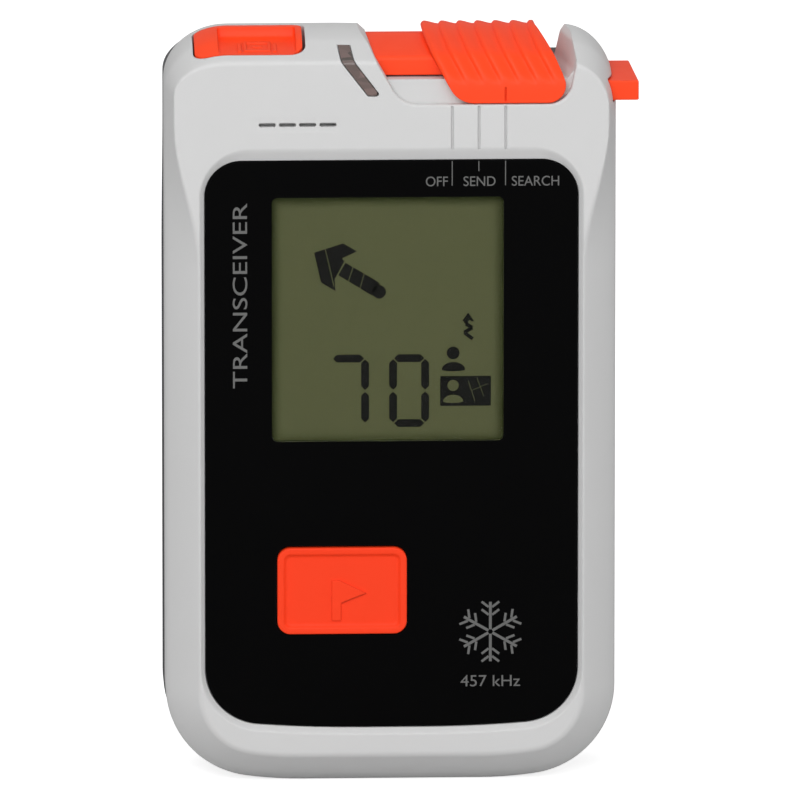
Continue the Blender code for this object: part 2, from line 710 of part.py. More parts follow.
def rib_lift(along):
    """Height of the ribs, from 0 to 1, at a place along the grip: steep to the left, slow to the right."""
    share = (along / RIB_PITCH) % 1.0
    return math.sin(share / 0.28 * math.pi / 2) if share < 0.28 else 1 - smooth_step((share - 0.28) / 0.72)


def grip_body():
    stations = []
    for rib in range(-1, 8):
        stations += [(rib + share) * RIB_PITCH for share in (0.0, 0.12, 0.28, 0.62)]
    bm = bmesh.new()
    rings = []
    for along in stations:
        lift = rib_lift(along) * RIB_HEIGHT
        points = []
        for i, (y, z, share) in enumerate(grip_section):
            before, after = grip_section[i - 1], grip_section[(i + 1) % len(grip_section)]
            outward = Vector((before[1] - after[1], after[0] - before[0])).normalized()
            y += outward.x * lift * share
            z += outward.y * lift * share
            points.append(bm.verts.new((slanted(GRIP_LEFT + along, z) * MM, y * MM, z * MM)))
        rings.append(points)
    for near, far in zip(rings, rings[1:]):
        for i in range(len(near)):
            j = (i + 1) % len(near)
            bm.faces.new((near[i], near[j], far[j], far[i]))
    bm.faces.new(rings[0])
    bm.faces.new(rings[-1])
    return keep_bmesh("slider_grip", bm, ORANGE, smooth=True)


grip = grip_body()
grip_sections = [(-14.0, 0.0), (FRONT_Y + 1, 0.0), (SPLIT_Y, GRIP_NARROWING), (12.0, GRIP_NARROWING)]
within(grip, loft("grip_outline", [(y, grip_outline(narrowing)) for y, narrowing in grip_sections]))
cut(grip, block("grip_tunnel", (0.0, -6.2, 108.0), (30.0, 3.2, 111.5)))

bar_left = -0.95
carriage = prism("slider_carriage", bar_section, -8.0, 14.0, "X", ORANGE)
bar_ends = prism(
    "bar_ends",
    [
        (slanted(bar_left, 118.0), 118.0),
        (slanted(bar_left, 104.0), 104.0),
        (slanted(GRIP_LEFT - 0.12, 104.0), 104.0),
        (slanted(GRIP_LEFT - 0.12, 118.0), 118.0),
    ],
    -12.0,
    6.0,
    "Y",
)
within(carriage, bar_ends)
bar_core = block("bar_core", (2.0, -6.0, 109.4), (23.0, 3.0, 111.3))
step_block = block("step_block", (19.0, -6.0, 105.2), (23.0, 3.0, 111.2))
(tongue_x0, tongue_y0, tongue_z0), (tongue_x1, tongue_y1, tongue_z1) = TONGUE
tongue = prism(
    "tongue",
    [
        (tongue_x0, tongue_y0),
        (tongue_x1, tongue_y0),
        (tongue_x1 - 0.8, tongue_y1),
        (tongue_x0, tongue_y1),
    ],
    tongue_z0,
    tongue_z1,
    "Z",
)
magnet_seat = rod("magnet_seat", (21.0, -1.0, 104.5), (21.0, -1.0, 107.3), 1.65)
join(carriage, bar_core, step_block, tongue)
cut(carriage, magnet_seat)
magnet = rod("slider_magnet", (21.0, -1.0, 105.3), (21.0, -1.0, 107.2), 1.5, STEEL)

recess_sections = [(-16.0, 0.0), (FRONT_Y + 1, 0.0), (SPLIT_Y, RECESS_NARROWING), (16.0, RECESS_NARROWING)]
upper_recess = loft(
    "upper_recess",
    [(y, recess_outline(BAR_LOW - 0.3, 0, 0, narrowing)) for y, narrowing in recess_sections],
)
back_recess = prism("back_recess", recess_outline(BAR_LOW - 0.3, 0, 0, 0.6, 0.9), 0, 16.0, "Y")
front_recess = prism("front_recess", recess_outline(RECESS_FLOOR, 4.2, 3.6), -16.0, -10.8, "Y")
tunnel_y0, tunnel_y1 = tongue_y0 - 0.3, tongue_y1 + 0.3
low_channel = block("low_channel", (10.5, tunnel_y0, tongue_z0 - 0.3), (25.0, tunnel_y1, BAR_LOW + 0.5))
side_tunnel = block("side_tunnel", (24.0, tunnel_y0, tongue_z0 - 0.3), (42.0, tunnel_y1, tongue_z1 + 0.3))
bar_pocket = prism("bar_pocket", channel_section, -13.5, 3.0, "X")
pocket_ends = prism(
    "pocket_ends",
    [
        (slanted(bar_left - 8.35, 118.0), 118.0),
        (slanted(bar_left - 8.35, 104.0), 104.0),
        (5.0, 104.0),
        (5.0, 118.0),
    ],
    -12.0,
    6.0,
    "Y",
)
within(bar_pocket, pocket_ends)
cut(front_shell, upper_recess, front_recess, low_channel, side_tunnel, bar_pocket)
cut(back_shell, back_recess, low_channel, side_tunnel, bar_pocket)

# Leaf spring under the tongue, which holds the slider in each mode
cut(front_shell, block("detent_seat", (13.6, -4.0, 103.9), (18.4, 1.6, 105.0)))
leaf = [
    (13.9, 104.1),
    (18.1, 104.1),
    (18.1, 104.35),
    (16.6, 104.4),
    (16.0, 104.75),
    (15.4, 104.4),
    (13.9, 104.35),
]
prism("detent_spring", leaf, -3.6, 1.2, "Y", STEEL)

# Battery latch: a lever flush with the top, with a scoop for the thumb and an arm to the door's catch
latch_x0, latch_y0, latch_x1, latch_y1 = LATCH
latch_plan = rounded(
    [
        (latch_x0, latch_y0, 2.2),
        (latch_x1, latch_y0, 2.2),
        (latch_x1, latch_y1, 1.4),
        (latch_x0, latch_y1, 1.4),
    ],
    4,
)
latch_hole_plan = rounded(
    [
        (latch_x0 - 0.25, latch_y0 - 0.25, 2.4),
        (latch_x1 + 0.45, latch_y0 - 0.25, 2.4),
        (latch_x1 + 0.45, latch_y1 + 0.25, 1.6),
        (latch_x0 - 0.25, latch_y1 + 0.25, 1.6),
    ],
    4,
)
ARM_X = (-17.5, -14.5)
SCOOP_X = (-25.9, -14.2)
battery_latch = body_loft("battery_latch", FRONT_DEPTHS, look=ORANGE)
within(battery_latch, prism("latch_plan", latch_plan, 109.9, 118.0, "Z"))
scoop_corners = [
    (-12.5, 118, 0),
    (-12.5, 112.4, 0),
    (-10.1, 112.55, 0),
    (-2.0, 113.3, 1.4),
    (-1.0, 114.6, 0.8),
    (-1.0, 118, 0),
]
thumb_scoop = prism("thumb_scoop", rounded(scoop_corners, 4), *SCOOP_X, "X")
arm_section = [
    (-3.2, 105.4),
    (10.0, 105.4),
    (10.0, 107.3),
    (9.0, 107.3),
    (9.0, 106.8),
    (-1.2, 106.8),
    (-1.2, 110.3),
    (-3.2, 110.3),
]
latch_arm = prism("latch_arm", arm_section, *ARM_X, "X")
pin_x, pin_z = LATCH_AXIS
latch_bore = rod("latch_bore", (pin_x, -14, pin_z), (pin_x, 4, pin_z), 0.8, sides=16)
cut(battery_latch, thumb_scoop, latch_bore)
join(battery_latch, latch_arm)
rod("latch_pin", (pin_x, -10.9, pin_z), (pin_x, 0.2, pin_z), 0.6, STEEL, sides=16)
latch_hole = prism("latch_hole", latch_hole_plan, 108.2, 120.0, "Z")
pin_hole = rod("latch_pin_hole", (pin_x, -11.2, pin_z), (pin_x, 0.5, pin_z), 0.75, sides=16)
leg_pocket = block("leg_pocket", (-18.6, -3.7, 104.0), (-13.4, 11.7, 108.5))
catch_pocket = block("catch_pocket", (-18.6, 7.3, 104.0), (-13.4, 11.7, 109.7))
spring_seat = rod("spring_seat", (-22.5, -6.0, 105.6), (-22.5, -6.0, 109.0), 1.9, sides=16)
cut(front_shell, latch_hole, pin_hole, leg_pocket, spring_seat)
cut(back_shell, leg_pocket, catch_pocket)


def coil(centre, radii, low, high, turns, per_turn):
    """A wire's path round an upright axis, from its first radius and height to its last."""
    points = []
    steps = turns * per_turn
    for step in range(steps + 1):
        angle = 2 * math.pi * step / per_turn
        height = low + (high - low) * step / steps
        radius = radii[0] + (radii[1] - radii[0]) * step / steps
        points.append((centre[0] + radius * math.cos(angle), centre[1] + radius * math.sin(angle), height))
    return points


wire("latch_spring", coil((-22.5, -6.0), (1.4, 1.4), 105.95, 109.55, 4, 8), 0.2, STEEL)

# Battery tray with three cells, nub up, down and up again
bay_x0, bay_z0, bay_x1, bay_z1 = BAY
tray = prism("battery_tray", grown(BAY, TRAY_WALL, 2.8), -2.0, 10.3, "Y", DARK_PLASTIC)
cut(tray, block("bay", (bay_x0, -0.9, bay_z0), (bay_x1, 12.0, bay_z1)))
for name, low, high in (
    ("contact_plate_lower", bay_z0 + 0.1, bay_z0 + 0.4),
    ("contact_plate_upper", bay_z1 - 0.4, bay_z1 - 0.1),
):
    block(name, (bay_x0 + 0.4, 0.5, low), (bay_x1 - 0.4, 9.0, high), SHEET_METAL)
NUB_RADIUS, NUB_HEIGHT = 1.9, 1.0
for number in (1, 2, 3):
    cell_x = CELL_AXIS_X + (number - 2) * CELL_PITCH
    nub_up = number != 2
    profile = [
        (0.0, CELL_LENGTH),
        (NUB_RADIUS, CELL_LENGTH),
        (NUB_RADIUS, CELL_LENGTH - NUB_HEIGHT),
        (CELL_RADIUS - 0.5, CELL_LENGTH - NUB_HEIGHT),
        (CELL_RADIUS, CELL_LENGTH - NUB_HEIGHT - 0.4),
        (CELL_RADIUS, 0.3),
        (CELL_RADIUS - 0.4, 0.0),
        (0.0, 0.0),
    ]
    base_z = bay_z0 + 1.85 if nub_up else bay_z1 - 1.85
    direction = (0, 0, 1) if nub_up else (0, 0, -1)
    turned(f"battery_cell_{number}", profile, (cell_x, CELL_AXIS_Y, base_z), direction, CELL_WRAP)
    plate_z, cell_end_z = (bay_z0 + 0.75, bay_z0 + 1.5) if nub_up else (bay_z1 - 0.75, bay_z1 - 1.5)
    spring_path = coil((cell_x, CELL_AXIS_Y), (3.6, 1.6), plate_z, cell_end_z, 2, 10)
    wire(f"battery_spring_{number}", spring_path, 0.25, STEEL)

# Battery door on the back, hinged along its lower edge
hinge_y, hinge_z = DOOR_HINGE
door_left, door_right, door_top = -30.0, 6.0, 103.4
tab_left, tab_right, tab_top = -20.0, -12.0, 109.5
opening = (bay_x0, 55.0, bay_x1, 99.8)


knuckle_x = (-26.0, 2.0)


def door_outline(margin):
    foot, shoulder = hinge_z - 0.3 - 1.2 * margin, hinge_z + 1.7 - 2.2 * margin
    return rounded(
        [
            (door_left - margin, shoulder, 0.8),
            (knuckle_x[0] - 0.1 - margin, shoulder + 0.2, 0),
            (knuckle_x[0] - 0.1 - margin, foot, 0),
            (knuckle_x[1] + 0.1 + margin, foot, 0),
            (knuckle_x[1] + 0.1 + margin, shoulder + 0.3, 0),
            (door_right + margin, shoulder, 0.8),
            (door_right + margin, door_top + margin, 2.5),
            (tab_right + margin, door_top + margin, 0),
            (tab_right + margin, tab_top + margin, 1.5),
            (tab_left - margin, tab_top + margin, 1.5),
            (tab_left - margin, door_top + margin, 0),
            (door_left - margin, door_top + margin, 2.5),
        ],
        4,
    )


KNUCKLE = 1.25
battery_door = prism("battery_door", door_outline(0.0), BACK_Y - DOOR_THICK, BACK_Y, "Y", DARK_PLASTIC)
plug = prism("door_plug", grown(opening, -1.3, 1.0), 10.4, BACK_Y - DOOR_THICK + 0.3, "Y")
knuckle = rod("door_knuckle", (knuckle_x[0], hinge_y, hinge_z), (knuckle_x[1], hinge_y, hinge_z), KNUCKLE)
catch_bar = block("catch_bar", (ARM_X[0], 7.8, 108.0), (ARM_X[1], 11.7, 109.2))
catch_lip = block("catch_lip", (ARM_X[0], 7.8, 107.6), (ARM_X[1], 8.7, 108.5))
hinge_bore = rod("hinge_bore", (-31, hinge_y, hinge_z), (7, hinge_y, hinge_z), 0.75, sides=12)
join(battery_door, plug, knuckle, catch_bar, catch_lip)
cut(battery_door, hinge_bore)
door_seal = prism("door_seal", grown(opening, -0.15, 1.2), 10.5, 11.2, "Y", RUBBER)
cut(door_seal, prism("seal_inside", grown(opening, -1.2, 0.9), 10.0, 12.0, "Y"))
rod("door_hinge_pin", (-29.0, hinge_y, hinge_z), (5.0, hinge_y, hinge_z), 0.6, STEEL, sides=16)

hinge_rail = block("hinge_rail", (-29.6, 8.8, 47.2), (5.6, CAVITY_BACK + 0.7, 52.0))
join(back_shell, hinge_rail)
door_rebate = prism("door_rebate", door_outline(0.3), BACK_Y - DOOR_THICK - 0.25, 16.0, "Y")
bay_opening = prism("bay_opening", grown(opening, 0.0, 1.3), 9.0, 13.0, "Y")
knuckle_trough = block("knuckle_trough", (-26.4, 9.6, 48.4), (2.4, 14.0, 51.6))
rail_bore = rod("rail_bore", (-29.3, hinge_y, hinge_z), (5.3, hinge_y, hinge_z), 0.75, sides=12)
cut(back_shell, door_rebate, bay_opening, knuckle_trough, rail_bore)

# Lanyard bar across a recess in the lower back
lanyard_z = 12.5
join(back_shell, block("lanyard_boss", (-9.6, 6.7, 5.6), (9.6, CAVITY_BACK + 0.7, 19.2)))
lanyard_recess = block("lanyard_recess", (-6.0, 7.9, 7.4), (6.0, 15.0, 17.6))
bar_seat = rod("bar_seat", (-8.4, 11.0, lanyard_z), (8.4, 11.0, lanyard_z), 1.1, sides=14)
cut(back_shell, lanyard_recess, bar_seat)
rod("lanyard_bar", (-8.1, 11.0, lanyard_z), (8.1, 11.0, lanyard_z), 0.95, STEEL)

ride("slider_axis", (21.0, -1.0, 106.5), carriage, grip, magnet)
ride("button_axis", (button_x, BUTTON_FRONT, button_z), mark_button)
ride("latch_axis", (pin_x, -5.4, pin_z), battery_latch)
ride("door_axis", (CELL_AXIS_X, hinge_y, hinge_z), battery_door, door_seal)
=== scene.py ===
import math

import bmesh
import bpy
from mathutils import Matrix, Vector


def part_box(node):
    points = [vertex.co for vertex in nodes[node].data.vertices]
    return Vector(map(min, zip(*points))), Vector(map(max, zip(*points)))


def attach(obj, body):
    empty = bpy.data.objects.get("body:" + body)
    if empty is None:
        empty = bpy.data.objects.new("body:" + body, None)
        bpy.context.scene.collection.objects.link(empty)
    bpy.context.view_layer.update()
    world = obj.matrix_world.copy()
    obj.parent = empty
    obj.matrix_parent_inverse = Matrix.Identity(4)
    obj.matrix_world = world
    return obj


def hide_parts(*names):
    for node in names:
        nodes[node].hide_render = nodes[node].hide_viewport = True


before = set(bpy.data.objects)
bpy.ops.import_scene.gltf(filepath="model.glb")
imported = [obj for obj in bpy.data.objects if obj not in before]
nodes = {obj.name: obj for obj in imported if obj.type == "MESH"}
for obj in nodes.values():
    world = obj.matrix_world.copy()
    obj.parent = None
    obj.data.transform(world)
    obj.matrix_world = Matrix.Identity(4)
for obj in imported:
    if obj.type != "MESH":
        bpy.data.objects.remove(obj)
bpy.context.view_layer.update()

# Camera, lights and floor: a long lens a little above the front, soft white light, a pale table.
# The object's lengths are millimetres, and MM turns them into metres. Lamps and camera are in metres.
MM = 0.001
FOCAL_LENGTH, SENSOR = 895.05, 36
LENS_SHIFT = (0.013875, -0.002125)
AIM = Vector((0, 0, 57.5)) * MM
DISTANCE = 3.0
azimuth, elevation = math.radians(-2.0), math.radians(12.5)
towards = Vector(
    (
        math.sin(azimuth) * math.cos(elevation),
        -math.cos(azimuth) * math.cos(elevation),
        math.sin(elevation),
    )
)
camera_data = bpy.data.cameras.new("camera")
camera_data.sensor_width, camera_data.lens = SENSOR, FOCAL_LENGTH
camera_data.shift_x, camera_data.shift_y = LENS_SHIFT
camera_data.clip_end = 20
camera = bpy.data.objects.new("camera", camera_data)
camera.location = AIM + towards * DISTANCE
camera.rotation_euler = towards.to_track_quat("Z", "Y").to_euler()
bpy.context.scene.collection.objects.link(camera)
bpy.context.scene.camera = camera
bpy.context.scene.view_settings.view_transform = "Standard"

for name, place, size, energy in (
    ("key_light", (-0.3, -1.1, 1.15), 0.9, 6.7),
    ("low_light", (-0.4, -1.45, 0.6), 1.0, 7.7),
    ("fill_light", (0.9, -1.1, 0.55), 0.8, 3.3),
    ("top_light", (-0.1, 0.1, 1.5), 0.9, 2.4),
):
    lamp = bpy.data.lights.new(name, "AREA")
    lamp.size = size
    lamp.energy = energy
    held = bpy.data.objects.new(name, lamp)
    held.location = place
    held.rotation_euler = (Vector(place) - AIM).to_track_quat("Z", "Y").to_euler()
    bpy.context.scene.collection.objects.link(held)
world = bpy.data.worlds.new("studio")
bpy.context.scene.world = world
world.use_nodes = True
world.node_tree.nodes["Background"].inputs["Color"].default_value = (1, 1, 1, 1)
world.node_tree.nodes["Background"].inputs["Strength"].default_value = 0.47


def nothing_selected():
    if bpy.context.object and bpy.context.object.mode != "OBJECT":
        bpy.ops.object.mode_set(mode="OBJECT")
    bpy.ops.object.select_all(action="DESELECT")


def new_material(name):
    made = bpy.data.materials.new(name)
    made.use_nodes = True
    return made, made.node_tree, made.node_tree.nodes["Principled BSDF"]


def feed(tree, taker, inputs):
    """Sets a node's inputs to a plain value, an output, or a node, whose first output is taken."""
    for socket, value in inputs.items():
        if isinstance(value, bpy.types.Node):
            value = value.outputs[0]
        if isinstance(value, bpy.types.NodeSocket):
            tree.links.new(value, taker.inputs[socket])
        else:
            taker.inputs[socket].default_value = value


def node(tree, kind, inputs=None, **settings):
    made = tree.nodes.new("ShaderNode" + kind)
    for name, value in settings.items():
        setattr(made, name, value)
    feed(tree, made, inputs or {})
    return made


def object_place(tree):
    return node(tree, "TexCoord").outputs["Object"]


nothing_selected()
bpy.ops.mesh.primitive_plane_add(size=8, location=(0, 0, 0))
table = bpy.context.object
table.name = "table_top"
paper, tree, shader = new_material("table_paper")
fibres = node(tree, "TexNoise", {"Vector": object_place(tree), "Scale": 40})
shade = node(tree, "MapRange", {"Value": fibres, "To Min": 0.6, "To Max": 0.64})
seen = node(tree, "LightPath").outputs["Is Camera Ray"]
glow = node(tree, "Math", {0: seen, 1: 0.75}, operation="MULTIPLY")
feed(tree, shader, {"Base Color": shade, "Roughness": 0.9})
feed(tree, shader, {"Emission Color": (1, 1, 1, 1), "Emission Strength": glow})
table.data.materials.append(paper)

# Front shell: a light grey moulding of polycarbonate blend with a fine spark-eroded texture.
# It carries every other piece: the window, the slider recess, the latch well and the speaker slots.
HALF_WIDTH, HEIGHT = 33.9, 115.0
FRONT_Y, SPLIT_Y, SPLIT_GAP, BACK_Y = -12.2, 2.0, 0.3, 12.5
BOTTOM_FLAT, BOTTOM_BOW, BOTTOM_CORNER = 13.5, 8.0, 14.0
TOP_CORNERS = (((7.9, 10.1), 0.4), ((9.5, 8.2), 0.0))  # right, left: half axes and drop
SHOULDER_DEPTH, SHOULDER_INSET, SHOULDER_POWER = 6.4, 5.1, 1.25
SIDE_FULL, SIDE_FADE, SIDE_SHARE = 80.0, 22.0, 0.25
TOP_RAMP, TOP_RAMP_END, TOP_INSET = 0.41, -6.6, 3.2
FRONT_EDGE = (1.5, 0.9)  # rounding of the front face's edge: at the sides, at the top
RIM_ROUND = 0.18
CAVITY_FRONT, CAVITY_BACK, CAVITY_TOP, WALL = -9.2, 10.7, 103.2, 1.8
LEAN, BAND_TOP, RECESS_FLOOR = 0.57, 108.4, 105.15
RECESS_LEFT, RECESS_RIGHT, RECESS_NARROWING = -0.37, 26.9, 2.4
PLATE_HALF, PLATE_LOW, PLATE_HIGH = 28.0, 9.35, 96.5
PLATE_CORNERS, PLATE_FLAT, PLATE_BOW = (8.5, 5.5), 5.0, 4.5
PLATE_FRONT, PLATE_BACK = -11.3, -10.2
FRAME_BEVEL = (0.65, 0.8, 1.6)  # its width at the sides, the bottom and the top


def arc(centre, radii, start, end, steps):
    turns = [math.radians(start + (end - start) * i / steps) for i in range(steps + 1)]
    return [(centre[0] + radii[0] * math.cos(t), centre[1] + radii[1] * math.sin(t)) for t in turns]


def smooth_step(value):
    value = min(max(value, 0.0), 1.0)
    return value * value * (3 - 2 * value)


def lower_outline(half, low, corner, flat, bow_deg, steps=20):
    """Right half of a bottom edge: a flat, a slow bow and a corner that ends on the side."""
    sine, cosine = math.sin(math.radians(bow_deg)), math.cos(math.radians(bow_deg))
    bow = (half - flat - corner * (1 - sine)) / sine
    corner_centre = (half - corner, low + bow - (bow - corner) * cosine)
    outline = [(flat * share, low) for share in (0.0, 0.5, 1.0)]
    outline += arc((flat, low + bow), (bow, bow), -90, -90 + bow_deg, 5)[1:]
    outline += arc(corner_centre, (corner, corner), -90 + bow_deg, 0, steps)[1:]
    return outline


def closed_halves(right, left):
    """One ring from a right and a left half that both start at the middle of the bottom."""
    return right + [(-x, z) for x, z in reversed(left[1:])]


def bowed_outline(half, low, high, corners, flat, bow_deg, steps=20):
    lower = lower_outline(half, low, corners[0], flat, bow_deg, steps)
    centre = (half - corners[1], high - corners[1])
    side = lower + arc(centre, (corners[1], corners[1]), 0, 90, steps)
    return closed_halves(side, side)


def body_outline(inset, top_inset, half=HALF_WIDTH):
    """The housing's outline at one depth, moved in by an inset at the sides and another at the top."""

    def side_x(z):
        fade = smooth_step((z - SIDE_FULL) / SIDE_FADE)
        return half + (HALF_WIDTH - half) * fade - inset * (1 - (1 - SIDE_SHARE) * fade)

    corner = BOTTOM_CORNER - inset
    lower = lower_outline(half - inset, inset, corner, BOTTOM_FLAT, BOTTOM_BOW)
    halves = []
    for (across, height), drop in TOP_CORNERS:
        start_z = HEIGHT - drop - height
        side = [(side_x(z), z) for z in [30, 50, 65] + [SIDE_FULL + 2 * i for i in range(12)]]
        centre_x = HALF_WIDTH - across
        corner = arc((centre_x, start_z), (side_x(start_z) - centre_x, height - top_inset), 0, 90, 24)
        middle = [(centre_x * share, corner[-1][1]) for share in (0.66, 0.33)]
        halves.append(lower + side + corner + middle)
    return closed_halves(*halves)


def edge_rounding(depth, slope, radius):
    """How far a rounded edge stands in beyond its sharp corner's line, at a depth behind the face.

    The slope is how fast the surface behind the edge moves out, in mm for each mm of depth.
    """
    turn = math.atan(1 / slope)
    if depth >= radius * (1 - math.cos(turn)):
        return None
    return radius * math.tan(turn / 2) - math.sqrt(radius**2 - (radius - depth) ** 2)


def side_inset(y):
    depth = y - FRONT_Y
    if depth < SHOULDER_DEPTH:
        slope = SHOULDER_INSET * SHOULDER_POWER / SHOULDER_DEPTH
        rounding = edge_rounding(depth, slope, FRONT_EDGE[0])
        if rounding is not None:
            return SHOULDER_INSET + rounding
        return SHOULDER_INSET * (1 - depth / SHOULDER_DEPTH) ** SHOULDER_POWER
    if y > 7.0:
        share = (y - 7.0) / (BACK_Y - 7.0)
        return 5.0 * (1 - math.sqrt(max(1 - share * share, 0.0)))
    return 0.0


def top_inset(y):
    if y < TOP_RAMP_END:
        rounding = edge_rounding(y - FRONT_Y, TOP_RAMP, FRONT_EDGE[1])
        return TOP_INSET + rounding if rounding is not None else TOP_INSET - TOP_RAMP * (y - FRONT_Y)
    if y < 0:
        return (TOP_INSET - TOP_RAMP * (TOP_RAMP_END - FRONT_Y)) * (y / TOP_RAMP_END) ** 2
    if y > SPLIT_Y:
        behind = y - SPLIT_Y - SPLIT_GAP
        return 0.3 + 0.24 * behind + 0.012 * behind * behind
    return 0.0


def solid_between(name, rings):
    """A closed solid through rings that all have the same number of (x, y, z) points."""
    bm = bmesh.new()
    rings = [[bm.verts.new(Vector(point) * MM) for point in ring] for ring in rings]
    for near, far in zip(rings, rings[1:]):
        for i in range(len(near)):
            j = (i + 1) % len(near)
            bm.faces.new((near[i], near[j], far[j], far[i]))
    bm.faces.new(rings[0])
    bm.faces.new(rings[-1])
    bmesh.ops.recalc_face_normals(bm, faces=bm.faces[:])
    mesh = bpy.data.meshes.new(name)
    bm.to_mesh(mesh)
    bm.free()
    made = bpy.data.objects.new(name, mesh)
    bpy.context.scene.collection.objects.link(made)
    return made


def loft(name, sections):
    """A closed solid through (y, outline) sections that all have the same number of points."""
    return solid_between(name, [[(x, y, z) for x, z in outline] for y, outline in sections])


def body_loft(name, depths, half=HALF_WIDTH, rim=None):
    sections = []
    for y in depths:
        in_more = 0.0
        if rim is not None and abs(y - rim) < RIM_ROUND:
            in_more = RIM_ROUND - math.sqrt(RIM_ROUND**2 - (RIM_ROUND - abs(y - rim)) ** 2)
        sections.append((y, body_outline(side_inset(y) + in_more, top_inset(y) + in_more, half)))
    return loft(name, sections)


def rounded(corners, steps=6):
    """A closed outline from (across, up, radius) corners, in order round the shape."""
    outline = []
    for i, (across, up, radius) in enumerate(corners):
        here = Vector((across, up))
        if not radius:
            outline.append(tuple(here))
            continue
        before = (Vector(corners[i - 1][:2]) - here).normalized()
        after = (Vector(corners[(i + 1) % len(corners)][:2]) - here).normalized()
        half = before.angle(after) / 2
        reach = radius / math.tan(half)
        middle = here + (before + after).normalized() * radius / math.sin(half)
        first, last = here + before * reach - middle, here + after * reach - middle
        sweep = first.angle_signed(last)
        for step in range(steps + 1):
            outline.append(tuple(middle + Matrix.Rotation(-sweep * step / steps, 2) @ first))
    return outline


def active_only(piece):
    nothing_selected()
    piece.select_set(True)
    bpy.context.view_layer.objects.active = piece


def finish_shape(piece, angle):
    """Smooth shading with crisp edges, and flat faces that stay flat."""
    active_only(piece)
    bpy.ops.object.shade_smooth_by_angle(angle=math.radians(angle))
    flat = piece.modifiers.new("flat_faces", "WEIGHTED_NORMAL")
    flat.keep_sharp = True
    bpy.ops.object.modifier_apply(modifier=flat.name)


def change(piece, other, operation="DIFFERENCE"):
    """Cuts, joins or trims a piece with another, which is then gone."""
    nothing_selected()
    bpy.context.view_layer.objects.active = piece
    tool = piece.modifiers.new("tool", "BOOLEAN")
    tool.operation, tool.object, tool.solver = operation, other, "EXACT"
    bpy.ops.object.modifier_apply(modifier=tool.name)
    bpy.data.objects.remove(other)
    return piece


def prism(name, outline, low, high, axis="Y"):
    """A flat outline made solid between two places on an axis."""
    order = {
        "Y": lambda p, s: (p[0], s, p[1]),
        "X": lambda p, s: (s, p[0], p[1]),
        "Z": lambda p, s: (p[0], p[1], s),
    }
    return solid_between(name, [[order[axis](p, s) for p in outline] for s in (low, high)])


def rounded_block(name, low, high, axis="Y", corner=0.0, edge=0.0, ends=(-1, 1), steps=6):
    """A box whose edges along an axis are rounded first, and then the rims at its ends."""
    low, high = Vector(low) * MM, Vector(high) * MM
    nothing_selected()
    bpy.ops.mesh.primitive_cube_add(size=1, location=(low + high) / 2)
    piece = bpy.context.object
    piece.name = name
    piece.dimensions = high - low
    bpy.ops.object.transform_apply(location=True, rotation=True, scale=True)
    along = "XYZ".index(axis)
    places = (low[along], high[along])
    for radius, segments, rim in ((corner, steps, False), (edge, 3, True)):
        if not radius:
            continue
        bpy.ops.object.mode_set(mode="EDIT")
        bm = bmesh.from_edit_mesh(piece.data)
        for item in list(bm.faces) + list(bm.edges) + list(bm.verts):
            item.select = False
        for line in bm.edges:
            ends_at = [vertex.co[along] for vertex in line.verts]
            level = abs(ends_at[0] - ends_at[1]) < 1e-7
            if rim:
                wanted = [place for place, side in zip(places, (-1, 1)) if side in ends]
                line.select = level and any(abs(ends_at[0] - place) < 1e-7 for place in wanted)
            else:
                line.select = not level
        bmesh.update_edit_mesh(piece.data)
        bpy.ops.mesh.bevel(offset=radius * MM, segments=segments, affect="EDGES", clamp_overlap=False)
        bpy.ops.object.mode_set(mode="OBJECT")
    return piece


def rod(name, start, end, radius, sides=32):
    start, end = Vector(start) * MM, Vector(end) * MM
    nothing_selected()
    bpy.ops.mesh.primitive_cylinder_add(
        vertices=sides,
        radius=radius * MM,
        depth=(end - start).length,
        location=(start + end) / 2,
        rotation=(end - start).to_track_quat("Z", "Y").to_euler(),
    )
    piece = bpy.context.object
    piece.name = name
    bpy.ops.object.transform_apply(location=True, rotation=True, scale=True)
    return piece


def slanted(x, z, lean=LEAN):
    """Where a line that leans to the left stands at height z, if it stands at x at the band's top."""
    return x - lean * (z - BAND_TOP)


def recess_outline(floor, left_radius, right_radius, narrowing=0.0, grown=0.0):
    high = HEIGHT + 3
    left, right = RECESS_LEFT - grown, RECESS_RIGHT - narrowing + grown
    return rounded(
        [
            (slanted(left, high) - 2.2, high, 0),
            (slanted(left, 113.7), 113.7, 2.5),
            (slanted(left, floor), floor, left_radius),
            (right - 0.4, floor, right_radius),
            (right + 0.5, HEIGHT - 5, 2.0),
            (right + 1.3, 113.6, 1.5),
            (right + 4.4, high, 0),
        ],
        12,
    )


def frame_outline(share):
    side, bottom, top = (width * share + 0.12 for width in FRAME_BEVEL)
    corners = (PLATE_CORNERS[0] + bottom, PLATE_CORNERS[1] + top)
    high, low = PLATE_HIGH + top, PLATE_LOW - bottom
    return bowed_outline(PLATE_HALF + side, low, high, corners, PLATE_FLAT, PLATE_BOW)


def mixed(tree, factor, a, b, blend="MIX"):
    inputs = {"Factor": factor, "A": a, "B": b}
    return node(tree, "Mix", inputs, data_type="RGBA", blend_type=blend).outputs["Result"]


